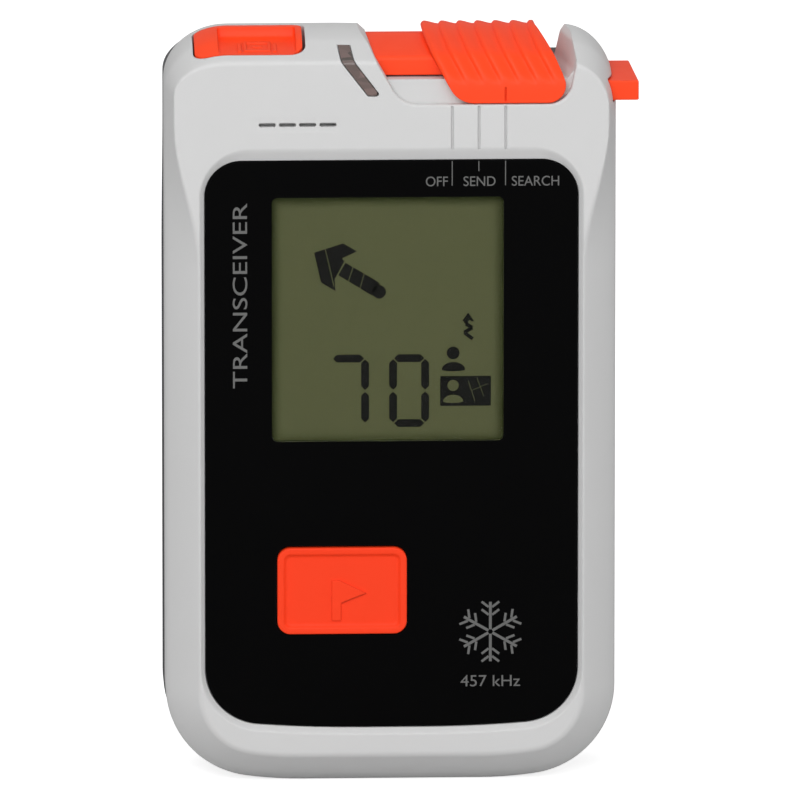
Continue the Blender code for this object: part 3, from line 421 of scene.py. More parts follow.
def plastic(name, colour, rough, grain=9000, depth=0.12, edge=0.25, mottle=0.03, specular=0.5):
    """A moulded plastic: eroded texture, softened edges, a little unevenness in shade and gloss."""
    made, tree, shader = new_material(name)
    skin = tree.nodes.new("ShaderNodeGroup")
    skin.node_tree = MOULD_SKIN
    feed(tree, skin, {"Grain Scale": grain, "Grain Depth": depth, "Edge Radius": edge * MM})
    feed(tree, skin, {"Mottle": mottle, "Gloss Base": rough})
    tint = mixed(tree, 1.0, (*colour, 1), skin.outputs["Shade"], "MULTIPLY")
    paler = (*[min(1.0, c * 1.12 + 0.01) for c in colour], 1)
    rub = mixed(tree, skin.outputs["Rub"], tint, paler)
    feed(tree, shader, {"Base Color": rub, "IOR": 1.5, "Specular IOR Level": specular})
    feed(tree, shader, {name: skin.outputs[name] for name in ("Roughness", "Normal")})
    return made


def new_group(name, inputs, outputs):
    tree = bpy.data.node_groups.new(name, "ShaderNodeTree")
    for label, kind, value in inputs:
        socket = tree.interface.new_socket(label, in_out="INPUT", socket_type=kind)
        socket.default_value = value
    for label, kind in outputs:
        tree.interface.new_socket(label, in_out="OUTPUT", socket_type=kind)
    return tree, tree.nodes.new("NodeGroupInput"), tree.nodes.new("NodeGroupOutput")


FLOAT, COLOUR, VECTOR = "NodeSocketFloat", "NodeSocketColor", "NodeSocketVector"
MOULD_SKIN, given, put_out = new_group(
    "mould_skin",
    [
        ("Grain Scale", FLOAT, 9000.0),
        ("Grain Depth", FLOAT, 0.12),
        ("Edge Radius", FLOAT, 0.0002),
        ("Mottle", FLOAT, 0.03),
        ("Gloss Base", FLOAT, 0.5),
    ],
    [("Shade", COLOUR), ("Rub", FLOAT), ("Roughness", FLOAT), ("Normal", VECTOR)],
)
said, tree = given.outputs, MOULD_SKIN
place = object_place(tree)
grain = node(tree, "TexNoise", {"Vector": place, "Scale": said["Grain Scale"], "Detail": 3.0})
soft_edge = node(tree, "Bevel", {"Radius": said["Edge Radius"]}, samples=4)
relief = node(tree, "Bump", {"Height": grain, "Strength": said["Grain Depth"], "Normal": soft_edge})
relief.inputs["Distance"].default_value = 0.04 * MM
cloud = node(tree, "TexNoise", {"Vector": place, "Scale": 85.0, "Detail": 4.0})
centred = node(tree, "Math", {0: cloud, 1: 0.5}, operation="SUBTRACT")
uneven = node(tree, "Math", {0: centred, 1: said["Mottle"], 2: 1.0}, operation="MULTIPLY_ADD")
patch = node(tree, "TexNoise", {"Vector": place, "Scale": 260.0})
lowered = node(tree, "Math", {0: said["Gloss Base"], 1: 0.05}, operation="SUBTRACT")
gloss = node(tree, "Math", {0: patch, 1: 0.1, 2: lowered}, operation="MULTIPLY_ADD")
plain = node(tree, "NewGeometry").outputs["Normal"]
worn_edge = node(tree, "Bevel", {"Radius": 0.5 * MM}, samples=4)
likeness = node(tree, "VectorMath", {0: worn_edge, 1: plain}, operation="DOT_PRODUCT").outputs["Value"]
rubbed = node(tree, "MapRange", {"Value": likeness, "From Min": 0.98, "From Max": 0.8, "To Max": 0.35})
broken = node(tree, "Math", {0: rubbed, 1: patch}, operation="MULTIPLY")
feed(tree, put_out, {"Shade": uneven, "Rub": broken, "Roughness": gloss, "Normal": relief})

light_plastic = plastic("light_plastic", (0.60, 0.60, 0.60), 0.5, mottle=0.025)

face_depths = [FRONT_Y + d for d in (0.0, 0.03, 0.08, 0.15, 0.24, 0.34, 0.46, 0.6)]
front_depths = face_depths + [-11.3, -10.8, -10.2, -9.5, -8.7, -7.9, -7.1, -6.6, -6.1, -5.6]
front_depths += [-5.0, -4.2, -3.4, -2.6, -1.8, -1.0, -0.4, 0.2, 1.0]
front_rim = [SPLIT_Y - d for d in (RIM_ROUND, 0.11, 0.05, 0.02, 0.0)]
front_shell = body_loft("front_housing_shell", front_depths + front_rim, rim=SPLIT_Y)


def cavity_outline(y):
    inset = side_inset(y) + WALL
    corners = (BOTTOM_CORNER - inset, 5.0)
    return bowed_outline(HALF_WIDTH - inset, inset, CAVITY_TOP, corners, BOTTOM_FLAT, BOTTOM_BOW, 8)


change(front_shell, loft("cavity", [(y, cavity_outline(y)) for y in (CAVITY_FRONT, -7.6, -5.5, 3.0)]))
window = [(FRONT_Y - 0.4, 1.75), (FRONT_Y, 1.3), (FRONT_Y + 0.03, 1.14), (FRONT_Y + 0.08, 1.03)]
window += [(FRONT_Y + 0.16, 0.9), (FRONT_Y + 0.25, 0.76), (PLATE_FRONT - 0.12, 0.1)]
window += [(PLATE_FRONT - 0.03, 0.02), (PLATE_FRONT, 0.0), (PLATE_BACK + 0.12, 0.0)]
change(front_shell, loft("window", [(y, frame_outline(share)) for y, share in window]))
LENS = (-17.9, 53.45, 16.8, 90.8)
PANEL = (-19.3, 52.1, 18.3, 92.3)
BUTTON = (-17.2, 23.8, 2.3, 37.1)


def grown_block(name, area, margin, y0, y1, corner, edge=0.0, ends=(-1, 1), steps=8):
    x0, z0, x1, z1 = area
    low, high = (x0 - margin, y0, z0 - margin), (x1 + margin, y1, z1 + margin)
    return rounded_block(name, low, high, "Y", corner, edge, ends, steps)


change(front_shell, grown_block("display_opening", PANEL, 0.3, PLATE_BACK - 0.5, CAVITY_FRONT + 0.5, 0.8))
change(front_shell, grown_block("button_opening", BUTTON, 0.25, PLATE_BACK - 0.5, CAVITY_FRONT + 0.5, 2.2))

# the slider's recess, its channel, and the tunnel that the tongue leaves through
recess_depths = ((-16.0, 0.0), (FRONT_Y + 1, 0.0), (SPLIT_Y, RECESS_NARROWING), (16.0, RECESS_NARROWING))
upper_recess = [(y, recess_outline(108.8, 0, 0, narrowing)) for y, narrowing in recess_depths]
change(front_shell, loft("upper_recess", upper_recess))
lip = [(-12.6, 0.5), (FRONT_Y, 0.36), (FRONT_Y + 0.04, 0.22), (FRONT_Y + 0.13, 0.09)]
lip.append((FRONT_Y + 0.3, 0.0))
front_recess = [(y, recess_outline(RECESS_FLOOR - out, 4.2, 3.6, 0.0, out)) for y, out in lip]
front_recess.append((-10.8, recess_outline(RECESS_FLOOR, 4.2, 3.6)))
change(front_shell, loft("front_recess", front_recess))
TONGUE_LOW, TONGUE_HIGH = (19.0, -9.0, 105.0), (37.2, 6.4, 108.0)
WAY_GAP = 0.3
tunnel_y = (TONGUE_LOW[1] - WAY_GAP, TONGUE_HIGH[1] + WAY_GAP)
tunnel_z = (TONGUE_LOW[2] - WAY_GAP, TONGUE_HIGH[2] + WAY_GAP)


def slider_ways():
    """The channel under the slider and the tunnel to the right side."""
    (y0, y1), (z0, z1) = tunnel_y, tunnel_z
    low = rounded_block("low_channel", (10.5, y0, z0), (25.0, y1, 109.6))
    side = rounded_block("side_tunnel", (24.0, y0, z0), (42.0, y1, z1), "X", 0.35)
    return low, side


channel = [(-9.3, 108.8), (-9.3, 111.8), (-8.5, 112.25), (-4.6, 113.15), (-1.0, 113.75), (1.5, 113.9)]
channel += [(3.3, 113.7), (3.3, 108.8)]


def bar_pocket():
    pocket = prism("bar_pocket", channel, -13.5, 3.0, "X")
    left = -9.3
    ends = [(slanted(left, 118.0), 118.0), (slanted(left, 104.0), 104.0), (5.0, 104.0), (5.0, 118.0)]
    return change(pocket, prism("pocket_ends", ends, -12.0, 6.0), "INTERSECT")


for tool in (*slider_ways(), bar_pocket()):
    change(front_shell, tool)

# the latch's well with its pin hole and spring seat
LATCH = (-29.4, -10.1, -13.25, 0.2)
PIN_X, PIN_Z = -27.6, 111.3
well_low, well_high = (LATCH[0] - 0.25, LATCH[1] - 0.25, 108.2), (LATCH[2] + 0.45, LATCH[3] + 0.25, 120.0)
well = [(well_low[0], well_low[1], 2.4), (well_high[0], well_low[1], 2.4), (well_high[0], well_high[1], 1.6)]
well = rounded(well + [(well_low[0], well_high[1], 1.6)], 10)
change(front_shell, prism("latch_well", well, well_low[2], well_high[2], "Z"))
change(front_shell, rod("pin_hole", (PIN_X, -10.5, PIN_Z), (PIN_X, 0.5, PIN_Z), 0.75))
change(front_shell, rounded_block("leg_pocket", (-18.6, -3.7, 104.0), (-13.4, 11.7, 108.5)))
change(front_shell, rod("spring_seat", (-22.5, -6.0, 105.6), (-22.5, -6.0, 109.0), 1.9))
change(front_shell, rounded_block("detent_seat", (13.6, -4.0, 103.9), (18.4, 1.6, 105.0)))

# signal light's slot, and the pocket of its diode
pipe_front = [(-3.5, 106.6), (-1.8, 106.6), (-5.7, 111.8), (-6.9, 116.0), (-8.6, 116.0), (-7.5, 111.8)]
pipe_depth = [(-14.0, 105.0), (-10.9, 105.0), (-10.9, 111.4), (-9.2, 112.15), (-7.9, 112.8)]
pipe_depth += [(-7.9, 117.0), (-14.0, 117.0)]


def widened(outline, margin):
    """The outline with every side moved outwards by a margin."""
    area = sum(a[0] * b[1] - b[0] * a[1] for a, b in zip(outline, outline[1:] + outline[:1]))
    outwards = math.copysign(margin, area)
    moved = []
    for i, point in enumerate(outline):
        here = Vector(point)
        along = (here - Vector(outline[i - 1])).normalized()
        onward = (Vector(outline[(i + 1) % len(outline)]) - here).normalized()
        first, second = Vector((along.y, -along.x)), Vector((onward.y, -onward.x))
        moved.append(tuple(here + (first + second) * outwards / (1 + first.dot(second))))
    return moved


def with_radii(outline, radii, steps=5):
    return rounded([(x, z, radius) for (x, z), radius in zip(outline, radii)], steps)


PIPE_RADII = (0.35, 0.35, 2.5, 0, 0, 2.5)
slot_shape = prism("pipe_slot", with_radii(widened(pipe_front, 0.12), PIPE_RADII), -14.5, -6.0)
change(slot_shape, prism("pipe_depth", widened(pipe_depth, 0.12), -11, 1, "X"), "INTERSECT")
change(front_shell, slot_shape)
change(front_shell, rounded_block("led_pocket", (-6.5, CAVITY_FRONT, 102.0), (0.5, -5.0, 108.3)))
change(front_shell, rounded_block("stem_hole", (-3.5, -11.5, 106.6), (-1.9, -8.5, 108.1)))

# speaker slots in a shallow dish, and the three index grooves under the slider
SLOT_X, SLOT_Z, SLOT_HALF = (-18.65, -15.6, -12.6, -9.55), 102.2, (1.275, 0.29)
dish = [(FRONT_Y - 0.2, 0.95), (FRONT_Y, 0.7), (FRONT_Y + 0.03, 0.45), (FRONT_Y + 0.06, 0.0)]


def slot_dish(margin):
    half = SLOT_HALF[1] + 0.35 + margin
    x0, x1 = SLOT_X[0] - SLOT_HALF[0] - 0.35 - margin, SLOT_X[-1] + SLOT_HALF[0] + 0.35 + margin
    corners = [(x0, SLOT_Z - half), (x1, SLOT_Z - half), (x1, SLOT_Z + half), (x0, SLOT_Z + half)]
    return rounded([(x, z, half * 0.98) for x, z in corners], 8)


change(front_shell, loft("slot_dish", [(y, slot_dish(margin)) for y, margin in dish]))
for x in SLOT_X:
    area = (x - SLOT_HALF[0], SLOT_Z - SLOT_HALF[1], x + SLOT_HALF[0], SLOT_Z + SLOT_HALF[1])
    change(front_shell, grown_block("speaker_slot", area, 0.0, FRONT_Y - 1, CAVITY_FRONT + 0.6, 0.28))
change(front_shell, rounded_block("mesh_seat", (-21.4, -10.6, 100.6), (-6.8, -8.6, 103.0)))
INDEX_X = (9.1, 13.1, 17.1)
for x in INDEX_X:
    mouth, bottom = FRONT_Y - 0.06, FRONT_Y + 0.3
    section = [(x - 0.21, mouth), (x + 0.21, mouth), (x + 0.1, bottom), (x - 0.1, bottom)]
    change(front_shell, prism("index_groove", section, 98.35, 104.9, "Z"))
finish_shape(front_shell, 32)
front_shell.data.materials.append(light_plastic)
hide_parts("front_shell")
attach(front_shell, "root")


# Back shell: the dark grey half, screwed on from behind, with the battery bay's opening,
# the hinge rail of its door and a recess with a steel bar for the leash.
SCREWS = ((-27.0, 14.0), (27.0, 14.0), (-27.0, 42.0), (11.0, 98.0))
BAY = (-28.4, 53.6, 4.4, 100.4)
BAY_OPENING = (-28.4, 55.0, 4.4, 99.8)
HINGE_Y, HINGE_Z = 11.2, 50.0
DOOR_LEFT, DOOR_RIGHT, DOOR_TOP, DOOR_THICK = -30.0, 6.0, 103.4, 1.0
TAB_LEFT, TAB_RIGHT, TAB_TOP = -20.0, -12.0, 109.5
KNUCKLE_X, KNUCKLE = (-26.0, 2.0), 1.25


def door_outline(margin, steps=8):
    foot, shoulder = HINGE_Z - 0.3 - 1.2 * margin, HINGE_Z + 1.7 - 2.2 * margin
    return rounded(
        [
            (DOOR_LEFT - margin, shoulder, 0.8),
            (KNUCKLE_X[0] - 0.1 - margin, shoulder + 0.2, 0),
            (KNUCKLE_X[0] - 0.1 - margin, foot, 0),
            (KNUCKLE_X[1] + 0.1 + margin, foot, 0),
            (KNUCKLE_X[1] + 0.1 + margin, shoulder + 0.3, 0),
            (DOOR_RIGHT + margin, shoulder, 0.8),
            (DOOR_RIGHT + margin, DOOR_TOP + margin, 2.5),
            (TAB_RIGHT + margin, DOOR_TOP + margin, 0),
            (TAB_RIGHT + margin, TAB_TOP + margin, 1.5),
            (TAB_LEFT - margin, TAB_TOP + margin, 1.5),
            (TAB_LEFT - margin, DOOR_TOP + margin, 0),
            (DOOR_LEFT - margin, DOOR_TOP + margin, 2.5),
        ],
        steps,
    )


split_back = SPLIT_Y + SPLIT_GAP
back_depths = [split_back + d for d in (0.0, 0.02, 0.05, 0.11, RIM_ROUND, 1.2, 2.4, 3.6)]
back_depths += [7.0 + 5.5 * math.sin(math.radians(9 * i)) for i in range(11)]
back_shell = body_loft("back_housing_shell", back_depths, HALF_WIDTH + 0.2, rim=split_back)
change(back_shell, loft("back_cavity", [(y, cavity_outline(y)) for y in (1.0, 7.0, 8.8, CAVITY_BACK)]))
for x, z in SCREWS:
    change(back_shell, rod("post", (x, split_back + 0.02, z), (x, CAVITY_BACK + 0.6, z), 3.2), "UNION")
hinge_rail = rounded_block("hinge_rail", (-29.6, 8.8, 47.2), (5.6, CAVITY_BACK + 0.7, 52.0))
change(back_shell, hinge_rail, "UNION")
boss = rounded_block("lanyard_boss", (-9.6, 6.7, 5.6), (9.6, CAVITY_BACK + 0.7, 19.2))
change(back_shell, boss, "UNION")
for x, z in SCREWS:
    change(back_shell, rod("clearance", (x, 1.0, z), (x, BACK_Y + 1, z), 1.3))
    change(back_shell, rod("counterbore", (x, 10.7, z), (x, BACK_Y + 1, z), 2.5, 40))
change(back_shell, prism("back_recess", recess_outline(108.8, 0, 0, 0.6, 0.9), 0.0, 16.0))
for tool in (*slider_ways(), bar_pocket()):
    change(back_shell, tool)
change(back_shell, rounded_block("arm_pocket", (-18.6, -3.7, 104.0), (-13.4, 11.7, 108.5)))
change(back_shell, rounded_block("catch_pocket", (-18.6, 7.3, 104.0), (-13.4, 11.7, 109.7)))
change(back_shell, prism("door_rebate", door_outline(0.3), BACK_Y - DOOR_THICK - 0.25, 16.0))
change(back_shell, grown_block("bay_opening", BAY_OPENING, 0.0, 9.0, 13.0, 1.3))
change(back_shell, rounded_block("knuckle_trough", (-26.4, 9.6, 48.4), (2.4, 14.0, 51.6)))
change(back_shell, rod("rail_bore", (-29.3, HINGE_Y, HINGE_Z), (5.3, HINGE_Y, HINGE_Z), 0.75))
change(back_shell, rounded_block("leash_recess", (-6.0, 7.9, 7.4), (6.0, 15.0, 17.6), "Y", 1.8))
change(back_shell, rod("bar_seat", (-8.4, 11.0, 12.5), (8.4, 11.0, 12.5), 1.1))
for level in (24.0, 26.0, 28.0, 30.0, 32.0, 34.0):
    for side in (-1, 1):
        x0, x1 = sorted((side * 12.0, side * 24.0))
        groove = rounded_block("grip_groove", (x0, 12.15, level - 0.45), (x1, 13.0, level + 0.45), "Y", 0.4)
        change(back_shell, groove)
finish_shape(back_shell, 32)
dark_plastic = plastic("dark_plastic", (0.045, 0.045, 0.05), 0.55, grain=7000, depth=0.3, mottle=0.12)
back_shell.data.materials.append(dark_plastic)
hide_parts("back_shell")
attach(back_shell, "root")

# Face plate: a black printed acrylic plate with rounded rims, laid into the frame of the front shell,
# with an opening for the display's lens and one for the button.
plate_sections = [(PLATE_BACK, 0.0), (PLATE_FRONT + 0.12, 0.0)]
plate_sections += [(PLATE_FRONT + 0.04, -0.03), (PLATE_FRONT, -0.12)]


def plate_outline(margin):
    corners = tuple(corner + margin for corner in PLATE_CORNERS)
    low, high = PLATE_LOW - margin, PLATE_HIGH + margin
    return bowed_outline(PLATE_HALF + margin, low, high, corners, PLATE_FLAT, PLATE_BOW)


face_plate = loft("black_face_plate", [(y, plate_outline(margin)) for y, margin in plate_sections])
change(face_plate, grown_block("lens_hole", LENS, 0.06, PLATE_FRONT - 1, PLATE_BACK + 1, 0.85))
change(face_plate, grown_block("button_hole", BUTTON, 0.22, PLATE_FRONT - 1, PLATE_BACK + 1, 2.2))
finish_shape(face_plate, 40)
BLACK = (0.0009, 0.0009, 0.001)
black_gloss = plastic("black_gloss", BLACK, 0.32, 4000, depth=0.03, edge=0.08, mottle=0.3, specular=0.035)
face_plate.data.materials.append(black_gloss)
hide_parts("face_plate")
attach(face_plate, "root")

# Printed marks on the plate: the three switch positions, their index lines, and plain generic signs.
# They are thin layers of grey ink on the plate's face.
INK = 0.012


def inked(piece, material, body="root"):
    piece.data.materials.clear()
    piece.data.materials.append(material)
    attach(piece, body)
    return piece


def label(name, words, centre, height, width, upright=True):
    """Letters laid on the plate, fitted to a height and a width."""
    nothing_selected()
    bpy.ops.object.text_add(location=(0, 0, 0))
    piece = bpy.context.object
    piece.name = name
    piece.data.body = words
    piece.data.extrude = 0.5
    piece.data.resolution_u = 6
    bpy.ops.object.convert(target="MESH")
    piece = bpy.context.object
    points = [vertex.co for vertex in piece.data.vertices]
    low = Vector([min(p[i] for p in points) for i in range(3)])
    high = Vector([max(p[i] for p in points) for i in range(3)])
    middle = (low + high) / 2
    for vertex in piece.data.vertices:
        across = (vertex.co.x - middle.x) / (high.x - low.x) * width
        up = (vertex.co.y - middle.y) / (high.y - low.y) * height
        if not upright:
            across, up = -up, across
        front = PLATE_FRONT - INK * (0.5 + vertex.co.z)
        vertex.co = Vector((centre[0] + across, front, centre[1] + up)) * MM
    active_only(piece)
    bpy.ops.object.mode_set(mode="EDIT")
    bpy.ops.mesh.select_all(action="SELECT")
    bpy.ops.mesh.remove_doubles(threshold=1e-7)
    bpy.ops.mesh.normals_make_consistent(inside=False)
    bpy.ops.object.mode_set(mode="OBJECT")
    return piece


grey_ink = plastic("grey_ink", (0.115, 0.115, 0.113), 0.6, grain=12000, depth=0.05, edge=0.01, mottle=0.1)
for words, x, width in (("OFF", 6.8, 3.3), ("SEND", 13.2, 4.8), ("SEARCH", 21.6, 7.1)):
    inked(label("label_" + words.lower(), words, (x, 93.25), 1.5, width), grey_ink)
for number, (x, low) in enumerate(zip(INDEX_X, (92.6, 94.8, 92.6)), 1):
    ends = (x - 0.07, PLATE_FRONT - INK, low), (x + 0.07, PLATE_FRONT, 96.35)
    line = rounded_block(f"index_line_{number}", *ends)
    inked(line, grey_ink)
inked(label("label_device_kind", "TRANSCEIVER", (-22.75, 75.9), 2.2, 28.4, upright=False), grey_ink)
inked(label("label_frequency", "457 kHz", (14.9, 16.3), 1.75, 9.0), grey_ink)


def sheet_of(name, outlines, low, high):
    """Flat closed shapes of the same thickness, joined into one piece."""
    shapes = [prism(name, outline, low, high) for outline in outlines]
    nothing_selected()
    for shape in shapes:
        shape.select_set(True)
    bpy.context.view_layer.objects.active = shapes[0]
    if len(shapes) > 1:
        bpy.ops.object.join()
    return bpy.context.object


def bar_between(start, end, width):
    start, end = Vector(start), Vector(end)
    side = (end - start).orthogonal().normalized() * width / 2
    return [tuple(start + side), tuple(end + side), tuple(end - side), tuple(start - side)]


FLAKE, FLAKE_ARM = (14.9, 23.9), 4.6
flake_bars = []
for turn in range(6):
    heading = Matrix.Rotation(math.radians(60 * turn + 30), 2)
    hub = Vector(FLAKE)
    ends = [hub + heading @ Vector((reach, 0)) for reach in (0.35, FLAKE_ARM)]
    flake_bars.append(bar_between(*ends, 0.42))
    for share in (0.5, 0.76):
        root = hub + heading @ Vector((FLAKE_ARM * share + 0.3, 0))
        for side in (-1, 1):
            start = root + heading @ Vector((0, 0.26 * side))
            tip = start + heading @ Matrix.Rotation(math.radians(52 * side), 2) @ Vector((1.35, 0))
            flake_bars.append(bar_between(start, tip, 0.36))
inked(sheet_of("snow_sign", flake_bars, PLATE_FRONT - INK, PLATE_FRONT), grey_ink)

# Display: a clear hard-coated lens, and behind it a reflective liquid crystal panel whose
# dark segments show a direction, a distance and two plain figures.
lens = grown_block("clear_display_lens", LENS, 0.0, PLATE_FRONT, PLATE_BACK, 0.8, 0.06)
finish_shape(lens, 40)
glass, tree, shader = new_material("clear_lens")
haze = node(tree, "TexNoise", {"Vector": object_place(tree), "Scale": 90})
soft = node(tree, "MapRange", {"Value": haze, "To Min": 0.001, "To Max": 0.008})
feed(tree, shader, {"Base Color": (0.97, 0.98, 0.97, 1), "Roughness": soft})
feed(tree, shader, {"Transmission Weight": 1.0, "IOR": 1.07})
ray = node(tree, "LightPath").outputs["Is Shadow Ray"]
either = node(tree, "MixShader", {"Fac": ray, 1: shader, 2: node(tree, "BsdfTransparent")})
feed(tree, tree.nodes["Material Output"], {"Surface": either})
lens.data.materials.append(glass)
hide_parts("display_lens")
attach(lens, "root")

panel = grown_block("display_panel", PANEL, 0.0, -10.0, -8.4, 0.3, 0.05)
finish_shape(panel, 40)
lcd, tree, shader = new_material("lcd_glass")
place = object_place(tree)
apart = node(tree, "SeparateXYZ", {"Vector": place})
# The panel's olive is painted darker towards the edges of the lens opening, a little more at its top: painted
# shade from the frame around the window.
edge_gaps = []
for axis, (low, high) in (("X", (LENS[0], LENS[2])), ("Z", (LENS[1] - 0.3, LENS[3] - 0.3))):
    middle, half = (low + high) / 2 * MM, (high - low) / 2 * MM
    centred = node(tree, "Math", {0: apart.outputs[axis], 1: middle}, operation="SUBTRACT")
    far = node(tree, "Math", {0: centred}, operation="ABSOLUTE")
    edge_gaps.append(node(tree, "Math", {0: half, 1: far}, operation="SUBTRACT"))
nearest = node(tree, "Math", {0: edge_gaps[0], 1: edge_gaps[1], 2: 1.2 * MM}, operation="SMOOTH_MIN")
fade = {"Value": nearest, "From Min": -0.4 * MM, "From Max": 1.7 * MM}
painted_frame_shade = node(tree, "MapRange", fade, interpolation_type="SMOOTHSTEP")
pearl = node(tree, "TexNoise", {"Vector": place, "Scale": 5200, "Detail": 2.0})
pearl_shade = node(tree, "MapRange", {"Value": pearl, "To Min": 0.86, "To Max": 1.14})
olive = mixed(tree, painted_frame_shade, (0.026, 0.032, 0.010, 1), (0.066, 0.070, 0.033, 1))
speckled = mixed(tree, 1.0, olive, pearl_shade, "MULTIPLY")
feed(tree, shader, {"Base Color": speckled, "Roughness": pearl_shade, "Specular IOR Level": 0.04})
panel.data.materials.append(lcd)
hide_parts("lcd_panel")
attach(panel, "root")

PANEL_FRONT, FILM = -10.0, 0.02
heading_head = [(-11.59, 82.2), (-7.23, 83.6), (-5.13, 82.35), (-7.4, 81.3), (-7.05, 80.85), (-8.1, 78.85)]
heading_head += [(-8.5, 78.1), (-8.38, 76.3), (-10.55, 77.6)]
heading_shaft = [(-6.88, 80.62), (-1.7, 77.5), (-2.9, 75.55), (-7.95, 78.72)]


def disc(centre, radius, steps=28):
    return arc(centre, (radius, radius), 0, 360 - 360 / steps, steps - 1)


def seven_segments(x0, x1, z0, z1, width, lit):
    """The lit segments of one digit, each with pointed ends and a hair's gap to the next."""
    gap, half = 0.14, width / 2
    middle = (z0 + z1) / 2
    rows = {"top": z1 - half, "low": z0 + half}
    shapes = []
    for name in lit:
        if name in rows:
            z = rows[name]
            a, b = x0 + half + gap, x1 - half - gap
            upper = [(a + half, z + half), (b - half, z + half)]
            lower = [(b - half, z - half), (a + half, z - half)]
            shapes.append([(a, z), *upper, (b, z), *lower])
            continue
        side, level = name.split("_")
        x = x0 + half if side == "left" else x1 - half
        a, b = (middle + gap, z1 - half - gap) if level == "high" else (z0 + half + gap, middle - gap)
        right = [(x + half, a + half), (x + half, b - half)]
        left = [(x - half, b - half), (x - half, a + half)]
        shapes.append([(x, a), *right, (x, b), *left])
    return shapes


seven = seven_segments(-9.5, -3.33, 55.3, 66.5, 1.2, ("top", "right_high", "right_low"))
all_round = ("top", "low", "left_high", "left_low", "right_high", "right_low")
nought = seven_segments(-0.32, 5.7, 55.3, 66.5, 1.2, all_round)
zigzag = [(12.25, 68.8), (10.95, 69.8), (12.2, 70.5), (11.15, 71.15), (11.5, 71.9)]
zig_bars = [bar_between(a, b, 0.56) for a, b in zip(zigzag, zigzag[1:])]
zig_bars += [[(10.65, 71.55), (11.55, 72.85), (12.45, 71.55), (12.1, 71.45), (11.55, 71.9), (11.0, 71.45)]]


def shoulders(x, z, half, height):
    """The rounded shoulders of a plain figure, with a hollow lower edge."""
    return arc((x, z), (half, height), 0, 180, 20) + arc((x, z), (half, height * 0.25), 180, 360, 10)[1:-1]


figure = [disc((9.3, 66.65), 0.98), shoulders(9.35, 64.1, 1.75, 1.15)]
segments = sheet_of(
    "display_segments",
    [heading_head, heading_shaft, disc((-1.83, 76.12), 1.04)] + seven + nought + zig_bars + figure,
    PANEL_FRONT - FILM,
    PANEL_FRONT,
)
for start, end in (((-9.9, 82.7), (-8.6, 77.0)), ((-5.6, 80.4), (-6.6, 77.2)), ((-3.9, 79.6), (-4.8, 76.2))):
    change(segments, prism("segment_gap", bar_between(start, end, 0.13), PANEL_FRONT - 1, PANEL_FRONT + 1))
box_corners = [(x, z, 0.15) for x, z in ((7.35, 58.5), (15.0, 58.5), (15.0, 63.1), (7.35, 63.1))]
box = prism("display_box", rounded(box_corners), PANEL_FRONT - FILM, PANEL_FRONT)
cut_outs = [disc((9.3, 61.65), 0.85), shoulders(9.3, 59.2, 1.5, 1.0)]
cut_outs.append(bar_between((11.6, 62.3), (12.6, 59.2), 0.1))
cut_outs += [bar_between((12.2, 60.9), (14.5, 61.9), 0.09), bar_between((12.9, 62.8), (13.9, 60.0), 0.09)]
for shape in cut_outs:
    change(box, prism("cut_out", shape, PANEL_FRONT - 1, PANEL_FRONT + 1))
LCD_BLACK = (0.002, 0.002, 0.0015)
lcd_ink = plastic("lcd_ink", LCD_BLACK, 0.6, depth=0.0, edge=0.005, mottle=0.3, specular=0.1)
inked(segments, lcd_ink)
inked(box, lcd_ink)

# Mark button: an orange elastomer-topped key with a soft dish and a raised flag, that is pressed
# against a seal and a switch.
ORANGE, ORANGE_CAP = (0.97, 0.056, 0.005), (0.93, 0.042, 0.003)
rubbery = {"grain": 8000, "depth": 0.14, "mottle": 0.05, "specular": 0.3}
orange_plastic = plastic("orange_plastic", ORANGE, 0.5, **rubbery)
orange_cap = plastic("orange_cap", ORANGE_CAP, 0.6, **rubbery)
button = grown_block("flag_button", BUTTON, 0.0, -11.9, -9.9, 2.0, 0.22, ends=(-1,), steps=12)


def button_shape(margin):
    x0, z0, x1, z1 = (side + margin * sign for side, sign in zip(BUTTON, (-1, -1, 1, 1)))
    corners = ((x0, z0), (x1, z0), (x1, z1), (x0, z1))
    return rounded([(x, z, max(2.0 + margin, 0.5)) for x, z in corners], 12)


dish = [(-12.2, -0.55), (-11.9, -0.85), (-11.83, -0.98), (-11.72, -1.1), (-11.58, -1.22)]
dish += [(-11.48, -1.36), (-11.42, -1.6)]
change(button, loft("button_dish", [(y, button_shape(margin)) for y, margin in dish]))
pole = rounded_block("flag_pole", (-9.0, -11.68, 25.8), (-7.6, -11.2, 32.0), "Y", 0.15, 0.1, ends=(-1,))
cloth = loft(
    "flag_cloth",
    [
        (y, widened([(-7.9, 28.5), (-4.0, 30.05), (-7.9, 32.0)], margin))
        for y, margin in ((-11.2, 0.0), (-11.6, 0.0), (-11.68, -0.1))
    ],
)
change(button, change(pole, cloth, "UNION"), "UNION")
centre = ((BUTTON[0] + BUTTON[2]) / 2, (BUTTON[1] + BUTTON[3]) / 2)
change(button, rod("button_stem", (centre[0], -10.2, centre[1]), (centre[0], -8.0, centre[1]), 1.5), "UNION")
finish_shape(button, 35)
button.data.materials.append(orange_cap)
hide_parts("mark_button")
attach(button, "button")

# Battery latch: an orange lever flush with the top, with a scoop for the thumb, a moulded
# battery sign, and an arm that reaches back to the door's catch.
latch = body_loft("thumb_latch", front_depths + front_rim)
x0, y0, x1, y1 = LATCH
plan = [(x0, y0, 2.2), (x1, y0, 2.2), (x1, y1, 1.4), (x0, y1, 1.4)]
change(latch, prism("latch_plan", rounded(plan, 10), 109.9, 118.0, "Z"), "INTERSECT")
SCOOP_X = (-25.9, -14.2)
scoop_floor = [(-12.0, 112.42), (-10.05, 112.55), (-8.0, 112.75), (-4.0, 113.1), (-2.2, 113.3)]
scoop_floor += [(-1.5, 113.6), (-1.1, 114.2), (-1.0, 116.0), (-12.0, 116.0)]


